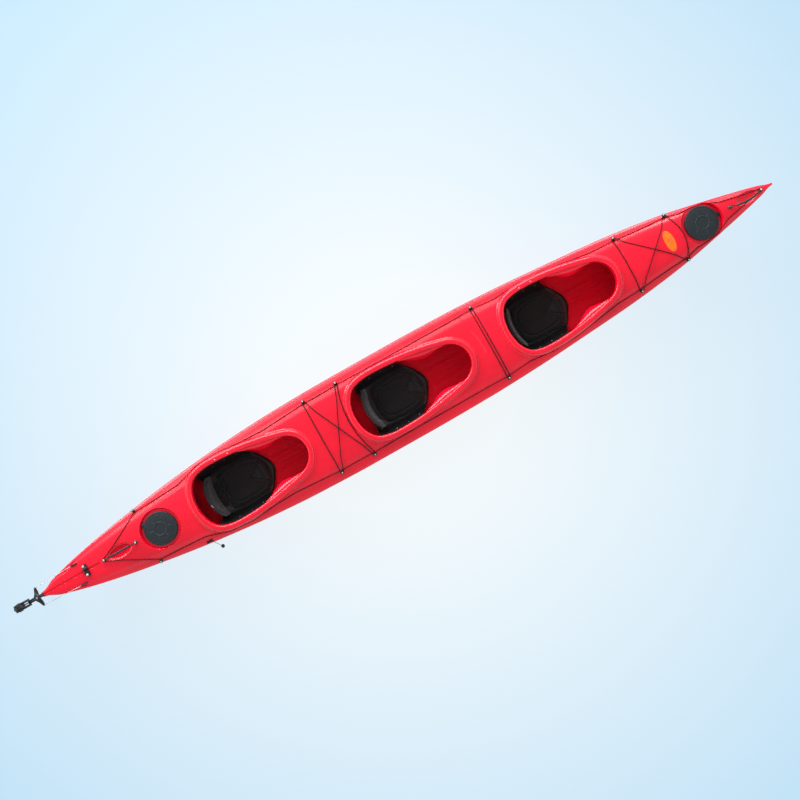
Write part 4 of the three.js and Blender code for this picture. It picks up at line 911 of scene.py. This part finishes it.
def seat_pad(name):
    """The cushion before it is stuffed and sewn."""
    u, v = grid_of(np.linspace(-1, 1, 101), np.linspace(-1, 1, 101))
    along = PAD_HALF_LENGTH * (u - PAD_CORNER * v ** 2 * np.maximum(u, 0)) * np.sqrt(1 - PAD_CORNER * v ** 2)
    across = PAD_HALF_WIDTH * v * np.sqrt(1 - PAD_CORNER * u ** 2)
    height = PAD_THICKNESS * PAD_FILL * (1 + v ** 2 / 2) * ((1 - u ** 6) * (1 - v ** 6)) ** 0.8
    x = PAD_MIDDLE[name] + along
    return [sheet(x, across, PAD_LOW + height), sheet(x[:, ::-1], across[:, ::-1], PAD_LOW)]


def spots_of(mesh):
    spots = np.empty(len(mesh.vertices) * 3)
    mesh.vertices.foreach_get("co", spots)
    return spots.reshape(-1, 3)


def move_to(mesh, spots):
    mesh.vertices.foreach_set("co", spots.ravel())
    mesh.update()


def level_on(piece, x, y, above):
    """How high a piece lies under each of the places, seen from above."""
    cover = BVHTree.FromObject(piece, bpy.context.evaluated_depsgraph_get())
    return np.array([[cover.ray_cast(at(px, py, above), Vector((0, 0, -1)))[0].z for px, py in zip(*row)]
                     for row in zip(x, y)])


def baked(piece):
    """The piece's mesh with its modifiers applied."""
    whole = bpy.data.meshes.new_from_object(piece.evaluated_get(bpy.context.evaluated_depsgraph_get()))
    piece.modifiers.clear()
    piece.data = whole
    whole.shade_smooth()
    return whole


def stuff(piece, cap, low=None):
    """Swells a closed sewn form with a short cloth run, each point moving no further than the cap."""
    even = piece.modifiers.new("even", "REMESH")
    even.mode = "VOXEL"
    even.voxel_size = CLOTH_VOXEL
    start = spots_of(baked(piece))
    cloth = piece.modifiers.new("stuffing", "CLOTH")
    cloth.settings.quality = 5
    cloth.settings.use_pressure = True
    cloth.settings.uniform_pressure_force = CLOTH_PRESSURE
    cloth.settings.effector_weights.gravity = 0
    cloth.collision_settings.use_collision = False
    cloth.point_cache.frame_start = 1
    cloth.point_cache.frame_end = CLOTH_FRAMES
    for frame in range(1, CLOTH_FRAMES + 1):
        scene.frame_set(frame)
    whole = baked(piece)
    moved = spots_of(whole) - start
    reach = np.linalg.norm(moved, axis=1, keepdims=True)
    spots = start + moved * np.minimum(1, cap / np.maximum(reach, 1e-9))
    if low is not None:
        spots[:, 2] = np.maximum(spots[:, 2], low)
    move_to(whole, spots)
    scene.frame_set(1)
    finer = piece.modifiers.new("finer", "SUBSURF")
    finer.levels = finer.render_levels = 1
    baked(piece)


def sew_pad(piece, name):
    """Draws the stitched lines into the top of a stuffed pad, with the creases beside them."""
    spots = spots_of(piece.data)
    along = spots[:, 0] + CENTRE - PAD_MIDDLE[name]
    across = spots[:, 1]
    seam, near = pad_seams(along, across)
    upper = smoothstep(spots[:, 2], PAD_LOW + 0.006, PAD_LOW + 0.018)
    puff = PAD_PUFF * (1 - np.exp(-near / SEAM_REACH))
    spots[:, 2] += (puff - PAD_SEAM * seam + pad_wrinkles(along, across, near)) * upper
    move_to(piece.data, spots)


def pad_patch(name, pad):
    """The lighter cloth in the fork of the front seam, lying on the pad."""
    forward, across = grid_of(np.linspace(*PATCH_SPAN, PATCH_STEPS), np.linspace(-1, 1, PATCH_STEPS))
    x = PAD_MIDDLE[name] + forward
    y = across * (forward - PATCH_APEX) * PATCH_SPREAD
    ends = np.minimum(np.linspace(0, 1, PATCH_STEPS), np.linspace(1, 0, PATCH_STEPS))[:, None]
    edge = np.minimum(1 - np.abs(across), ends)
    level = level_on(pad, x, y, 0.2) + (0.0016 * np.clip(edge / 0.1, 0, 1) ** 0.5 - 0.0004)
    return [sheet(x, y, level)]


def plain_tag(band):
    """A small bare tag sewn to the top of a back band."""
    x, y = grid_of(np.linspace(-0.0035, 0.0035, 7), np.linspace(-0.012, 0.012, 13))
    x, y = BACK_AT["stern"] - TAG_BACK + x - TAG_SLANT * y, TAG_SIDE + y
    return sheet(x, y, level_on(band, x, y, 0.4) + TAG_LIFT)


def back_band(name):
    """A padded band that bends forward at its sides, with grooves beside its piping."""
    v = np.linspace(-1, 1, 97)
    low = BACK_LEVEL - BACK_PIN * 2 + BACK_HEIGHT * v ** 2 * PAD_CORNER
    high = BACK_LEVEL + BACK_HEIGHT * (1 - PAD_CORNER * v ** 4)
    thick = BACK_THICKNESS * (1 - 0.5 * v ** 6) / 2 * np.clip((1.0001 - np.abs(v)) / 0.03, 0.35, 1) ** 0.5
    forward = BACK_AT[name] + BACK_SWEEP * v ** 2
    rows = []
    for turn in turns(72):
        across = np.sign(math.cos(turn)) * abs(math.cos(turn)) ** 0.75
        up = np.sign(math.sin(turn)) * abs(math.sin(turn)) ** 0.5
        groove = (math.exp(-((abs(up) - 0.8) / 0.045) ** 2) * 0.0035
                  + 0.0025 * np.exp(-((np.abs(v) - 0.52) / 0.025) ** 2) * (abs(up) < 0.8))
        z = (low + high) / 2 + up * (high - low) / 2
        swell = (thick - groove) * across
        ripple = 0.0005 * np.sin(34 * v + 5 * up) * across
        x = forward + swell + ripple - (z - BACK_LEVEL) * BACK_LEAN
        rows.append(np.column_stack([x, BACK_HALF_WIDTH * v, z]))
    band = np.stack(rows, 1)
    ends = [np.stack([end, np.repeat(end.mean(0)[None], len(end), 0)]) for end in (band[0], band[-1])]
    return [grid_mesh(places, closed=True) for places in (band, *ends)]


def back_pin(name):
    """The round pin that a back band tilts on."""
    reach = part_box(f"{name}_backrest")[1][1]
    y = np.array([-reach, -reach, -reach + PIN_ROUND, reach - PIN_ROUND, reach, reach])
    radius = np.array([0.0, BACK_PIN - PIN_ROUND, BACK_PIN, BACK_PIN, BACK_PIN - PIN_ROUND, 0.0])
    turn = turns(24)
    x = BACK_AT[name] + radius[:, None] * np.cos(turn)
    z = BACK_LEVEL + radius[:, None] * np.sin(turn)
    return sheet(x, y[:, None], z, closed=True)


def webbing(name):
    """A flat strap sewn over the back band."""
    v = np.linspace(-0.97, 0.97, 65)
    z = np.full_like(v, BACK_LEVEL + BACK_HEIGHT * 0.52)
    x = BACK_AT[name] + BACK_SWEEP * v ** 2 - (z - BACK_LEVEL) * BACK_LEAN - BACK_THICKNESS / 2
    ring = [np.column_stack([x + out - up * BACK_LEAN, BACK_HALF_WIDTH * v, z + up]) for out, up in WEBBING_SECTION]
    return [grid_mesh(np.stack(ring, 1), closed=True)]


for name in COCKPITS:
    joined(f"{name}_pan_look", seat_pan(name), SEAT_PLASTIC, f"{name}_seat_pan")
    pad = joined(f"{name}_pad_look", seat_pad(name), PAD, f"{name}_seat_pad")
    stuff(pad, PAD_CAP, PAD_LOW)
    sew_pad(pad, name)
    added(f"{name}_pad_patch", pad_patch(name, pad), PATCH, "boat")
    band = joined(f"{name}_back_look", back_band(name), BAND, f"{name}_backrest")
    stuff(band, BACK_CAP)
    if name == "stern":
        added("stern_back_tag", [plain_tag(band)], TAG, BODY_OF["stern_backrest"])
    added(f"{name}_back_pin", [back_pin(name)], STEEL, BODY_OF[f"{name}_backrest"])
    added(f"{name}_back_webbing", webbing(name), STRAP, BODY_OF[f"{name}_backrest"])


# Hatch covers: a domed lid with a ring, short spokes and a pull tab

COVER_SKIRT = 0.022
COVER_DOME = 0.005
COVER_RING = 0.047
COVER_RING_HALF = 0.0032
COVER_RING_HEIGHT = 0.0025
RING_SECTION = [(-0.0024, -0.001), (-0.0014, 0.0009), (0, 0.0014), (0.0014, 0.0009), (0.0024, -0.001)]
SPOKE_SECTION = [(-0.0022, -0.001), (-0.0012, 0.0014), (0, 0.002), (0.0012, 0.0014), (0.0022, -0.001)]
SPOKE_END = 0.082
LID_REST = 0.0006
LID_GAP = 0.0003
LID_RADII = [*np.linspace(0, 0.04, 8), *np.linspace(0.041, 0.053, 19), *np.linspace(0.055, 0.111, 30),
             0.1135, 0.116, 0.1178, 0.1191, 0.1198]
COVER_SPOKES = 6
COVER_TURNS = {"stern": 0.8 * math.pi, "bow": 0.0}
TAB_HALF = 0.017
TAB_REACH = 0.018
TAB_ROOT = 0.108
TAB_CORNER = 0.009
TAB_LEVELS = [(-0.0085, 0.001), (-0.0078, 0), (-0.0048, 0), (-0.004, 0.001)]
RIM_TOP = 0.013
RIM_WALL = 0.004
RIM_FLANGE = 0.114
MOUTH = 0.1


def lid_base(name):
    return hatch_floor(HATCH_STATIONS[name]) + LID_REST


def lid_rise(radii):
    return COVER_DOME * (1 - (1 - np.clip((HATCH_RADIUS - radii) / 0.07, 0, 1)) ** 2)


def cover_lid(name):
    """The domed top with a ring and a groove, its skirt and the hollow that fits over the rim."""
    low = lid_base(name)
    radii = np.array([*LID_RADII, HATCH_RADIUS])
    rounding = np.clip((radii - 0.115) / 0.005, 0, 1)
    level = low + COVER_SKIRT + lid_rise(radii) - 0.005 * (1 - np.sqrt(1 - rounding ** 2))
    ring = COVER_RING_HEIGHT * (1 - smoothstep(np.abs(radii - COVER_RING), COVER_RING_HALF * 0.55, COVER_RING_HALF))
    groove = -0.0016 * (1 - smoothstep(np.abs(radii - 0.105), 0.0012, 0.0026))
    flange, neck, under = RIM_FLANGE + LID_GAP, MOUTH + RIM_WALL + LID_GAP, low - LID_GAP + RIM_TOP
    underside = [(HATCH_RADIUS, low + 0.001), (HATCH_RADIUS - 0.001, low), (flange, low),
                 (flange, under - RIM_WALL), (neck, under - RIM_WALL), (neck, under), (0.0, under)]
    radii, z = np.concatenate([np.column_stack([radii, level + ring + groove]), underside]).T
    turn = turns(192) + COVER_TURNS[name]
    x = HATCH_STATIONS[name] + radii[:, None] * np.cos(turn)
    y = radii[:, None] * np.sin(turn)
    return sheet(x, y, z[:, None], closed=True)


def stacked(outline, levels):
    """A solid over a flat outline: each level is a height and how far the outline is drawn in."""
    places = np.array(outline, float)
    rows = [np.column_stack([places + left_of(places) * inset, np.full(len(places), z)]) for z, inset in levels]
    centre = np.repeat(places.mean(0)[None], len(places), 0)
    first, last = (np.column_stack([centre, row[:, 2]]) for row in (rows[0], rows[-1]))
    return grid_mesh(np.stack([first, *rows, last]), closed=True)


def cover_tab(name):
    """The pull tab, with its two outer corners rounded."""
    top = lid_base(name) + COVER_SKIRT
    angle = COVER_TURNS[name]
    tip = HATCH_RADIUS + TAB_REACH - TAB_CORNER
    flat = [(TAB_ROOT, -TAB_HALF), *(
        (tip + TAB_CORNER * math.cos(t), math.copysign(TAB_HALF - TAB_CORNER, math.sin(t)) + TAB_CORNER * math.sin(t))
        for t in np.linspace(-math.pi / 2, math.pi / 2, 17)), (TAB_ROOT, TAB_HALF)]
    turned = [(HATCH_STATIONS[name] + x * math.cos(angle) - y * math.sin(angle),
               x * math.sin(angle) + y * math.cos(angle)) for x, y in flat]
    return stacked(turned, [(top + z, inset) for z, inset in TAB_LEVELS])


def cover_ribs(name):
    """A raised ring and six short spokes, painted lighter than the lid as the highlight on their raised tops."""
    station = HATCH_STATIONS[name]
    top = lid_base(name) + COVER_SKIRT
    turn = turns(96) + COVER_TURNS[name]
    rows = []
    for out, up in RING_SECTION:
        radius = COVER_RING + out
        level = np.full(96, top + COVER_DOME + COVER_RING_HEIGHT * 0.9 + up)
        rows.append(np.column_stack([station + radius * np.cos(turn), radius * np.sin(turn), level]))
    meshes = [grid_mesh(np.stack(rows), closed=True)]
    along = np.linspace(COVER_RING + 0.003, SPOKE_END, 13)
    end = np.clip(np.minimum(along - along[0], along[-1] - along) / 0.004, 0, 1) ** 0.5
    for spoke in range(COVER_SPOKES):
        angle = COVER_TURNS[name] + (spoke + 0.5) * 2 * math.pi / COVER_SPOKES
        cos, sin = math.cos(angle), math.sin(angle)
        lines = [np.column_stack([station + along * cos - out * sin, along * sin + out * cos,
                                  top + lid_rise(along) + up * end]) for out, up in SPOKE_SECTION]
        meshes.append(grid_mesh(np.stack(lines)))
    return meshes


for name in HATCH_STATIONS:
    # The ring and spokes take the lighter rubber, a painted highlight on their raised tops
    added(f"{name}_cover_ribs", cover_ribs(name), RIB_HIGHLIGHT_RUBBER, BODY_OF[f"{name}_hatch_cover"])
    joined(f"{name}_cover_look", [cover_lid(name), cover_tab(name)], RUBBER, f"{name}_hatch_cover")


# Small hardware: screw heads on the spools, rivets on the coamings and the seats

SPOOL_SHARES = [(0.13621, 0.9127), (0.38103, 0.8228), (0.42707, 0.8213), (0.61672, 0.8388), (0.8081, 0.828),
                (0.87414, 0.893)]
SPOOL_TOP = 0.0269
SPOOL_SCREW_SIZE = (0.005, 0.0024)
GRIP_SCREW_SIZE = (0.0066, 0.003)
REST_BALL_SIZE = (0.0085, 0.0055)
COAMING_RIVET_SIZE = (0.0045, 0.0018)
PAN_RIVET_SIZE = (0.0042, 0.0018)
BADGE_STATION = 5.012
BADGE_HALF = (0.034, 0.08)
BADGE_THICKNESS = 0.0008
UP = Vector((0, 0, 1))
COAMING_RIVETS = [("stern", 1.472, 0.016), ("stern", 1.572, 0.016), ("bow", 3.94, 0.016), ("bow", 4.033, 0.016)]


def deck_up(x, y):
    reach = 0.005
    rise = (deck_height(x + reach, y) - deck_height(x - reach, y)) / (2 * reach)
    tilt = (deck_height(x, y + reach) - deck_height(x, y - reach)) / (2 * reach)
    return Vector((-float(rise), -float(tilt) if y else 0, 1)).normalized()


def dome(place, up, radius, height, cross=False):
    """A domed head with a shallow cross or a plain top."""
    shares = np.array([0, 0.25, 0.5, 0.7, 0.85, 0.95, 1.0, 1.0])
    rise = np.array([1, 0.97, 0.88, 0.73, 0.52, 0.3, 0.1, -0.4])
    turn = turns(24)
    local = np.stack([radius * shares[:, None] * np.cos(turn), radius * shares[:, None] * np.sin(turn),
                      height * rise[:, None] * np.ones(24)], 2)
    if cross:
        away = np.minimum(np.abs(local[..., 0]), np.abs(local[..., 1]))
        local[..., 2] -= 0.45 * height * (away < radius * 0.16) * (shares[:, None] < 0.6)
    basis = up.to_track_quat("Z", "Y").to_matrix()
    spots = local.reshape(-1, 3) @ np.array(basis).T + np.array(place)
    return grid_mesh(spots.reshape(local.shape), closed=True)


def screw(x, y, level, radius, height):
    """A screw head on the top of a spool."""
    up = deck_up(x, y)
    return dome(np.array([x, y, float(level)]) + np.array(up) * SPOOL_TOP, up, radius, height, cross=True)


def plain_badge():
    """A bare oval of film on the foredeck, with a rounded edge."""
    reach, turn = grid_of(np.linspace(0, 1, 9), turns(64))
    x = BADGE_STATION + BADGE_HALF[0] * reach * np.cos(turn)
    y = BADGE_HALF[1] * reach * np.sin(turn)
    z = deck_surface(x, y) + BADGE_THICKNESS * np.sqrt(np.clip((1.0001 - reach) / 0.1, 0.05, 1))
    return sheet(x, y, z, closed=True)


def rivets():
    """Two on the port side of the stern and bow coamings, and three on each cheek of the seat pans."""
    heads = []
    for name, x, out in COAMING_RIVETS:
        y = float(cockpit_half(cockpit_share(name, x))) + out
        heads.append(dome(np.array([x, y, float(lip_top(x, y - out))]), UP, *COAMING_RIVET_SIZE))
    for name in COCKPITS:
        for back, across in RIVET_PLACES:
            for side in SIDES:
                spot = pan_point(name, np.array(1 + back / SEAT_LENGTH), np.array(side * across * 0.86), 0.0048)
                heads.append(dome(spot, Vector((0, -side * 0.7, 0.7)), *PAN_RIVET_SIZE))
    return heads


screws = []
for along, out in SPOOL_SHARES:
    for side in SIDES:
        x = HULL_LENGTH * along
        y = side * float(half_width(x)) * out
        screws.append(screw(x, y, deck_height(x, y), *SPOOL_SCREW_SIZE))
for start, length in GRIPS.values():
    screws += [screw(x, 0, ridge(x), *GRIP_SCREW_SIZE) for x in (start, start + length)]
rest_low, rest_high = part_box("rudder_rest")
rest_balls = [dome((CENTRE + (rest_low[0] + rest_high[0]) / 2, side * (rest_high[1] - 0.013), rest_high[2] - 0.002),
                   UP, *REST_BALL_SIZE) for side in SIDES]
added("screw_heads", screws, STEEL, "boat")
added("rest_balls", rest_balls, STEEL, "boat")
added("plain_badge", [plain_badge()], BADGE, "boat")
added("rivet_heads", rivets(), STEEL, "boat")


# Every other node keeps its CAD shape

for name in nodes:
    if name not in MADE:
        smooth_copy(name)

# The deck line rides up over the foot of the stern coaming, where the deck is narrow
LINE_LIFT = 0.013
LINE_LIFT_SPAN = [1.27, 1.37, 1.5, 1.6]
line = bpy.data.objects["deck_line_look"].data
spots = spots_of(line)
along = spots[:, 0] + CENTRE
spots[:, 2] += LINE_LIFT * smoothstep(along, *LINE_LIFT_SPAN[:2]) * (1 - smoothstep(along, *LINE_LIFT_SPAN[2:]))
move_to(line, spots)


# Floor and light

FLOOR_SIZE = 60
SKY_MIDDLE = (0.89, 0.945, 0.97)
SKY_EDGE = (0.54, 0.76, 0.92)
SKY_RISE = [(0.0, 0.8), (0.3, 0.85), (0.55, 0.8), (0.72, 0.55), (0.86, 0.32), (1.0, 0.26)]
SKY_SIDES = (1.05, 2.3)
FLOOR_GLOW = 0.94
FLOOR_SHADE = 0.94
SKY_REACH = 4.2
LAMPS = [("key", (-0.6, 4.2, 4.4), (5.0, 1.2), 35), ("side", (-0.3, 6.4, 2.4), (10.0, 3.4), 700)]


def add_floor():
    mesh = bpy.data.meshes.new("floor")
    half = FLOOR_SIZE / 2
    mesh.from_pydata([(-half, -half, 0), (half, -half, 0), (half, half, 0), (-half, half, 0)], [], [(0, 1, 2, 3)])
    g = Graph("pale_floor")
    reach = g.add("ShaderNodeVectorMath", {0: g.place}, operation="LENGTH").outputs["Value"]
    tint = g.ramp(g.math("DIVIDE", reach, SKY_REACH), [(0.2, SKY_MIDDLE), (1.0, SKY_EDGE)])
    pale = g.finish(Base_Color=g.mix(FLOOR_SHADE, tint, (0, 0, 0, 1)), Roughness=0.9, Specular_IOR_Level=0.1,
                    Emission_Color=tint, Emission_Strength=FLOOR_GLOW)
    link("floor", mesh, pale)


def add_lamp(name, place, size, power):
    data = bpy.data.lights.new(name, "AREA")
    data.shape = "RECTANGLE"
    data.size, data.size_y = size
    data.energy = power
    placed(name, data, place, (-Vector(place)).to_track_quat("-Z", "Y").to_euler())


def add_light():
    """A soft sky: dim overhead, bright low down, brighter on the port side."""
    g = Graph("studio", world=True)
    way = g.add("ShaderNodeSeparateXYZ", {"Vector": g.place}).outputs
    color = g.ramp(way["Z"], [(place, (level * 0.95, level * 0.985, level)) for place, level in SKY_RISE])
    scene.world = g.finish(Color=color, Strength=g.span(way["Y"], *SKY_SIDES, -1.0, 1.0))
    for lamp in LAMPS:
        add_lamp(*lamp)


add_floor()
add_light()
scene.view_settings.view_transform = "Standard"
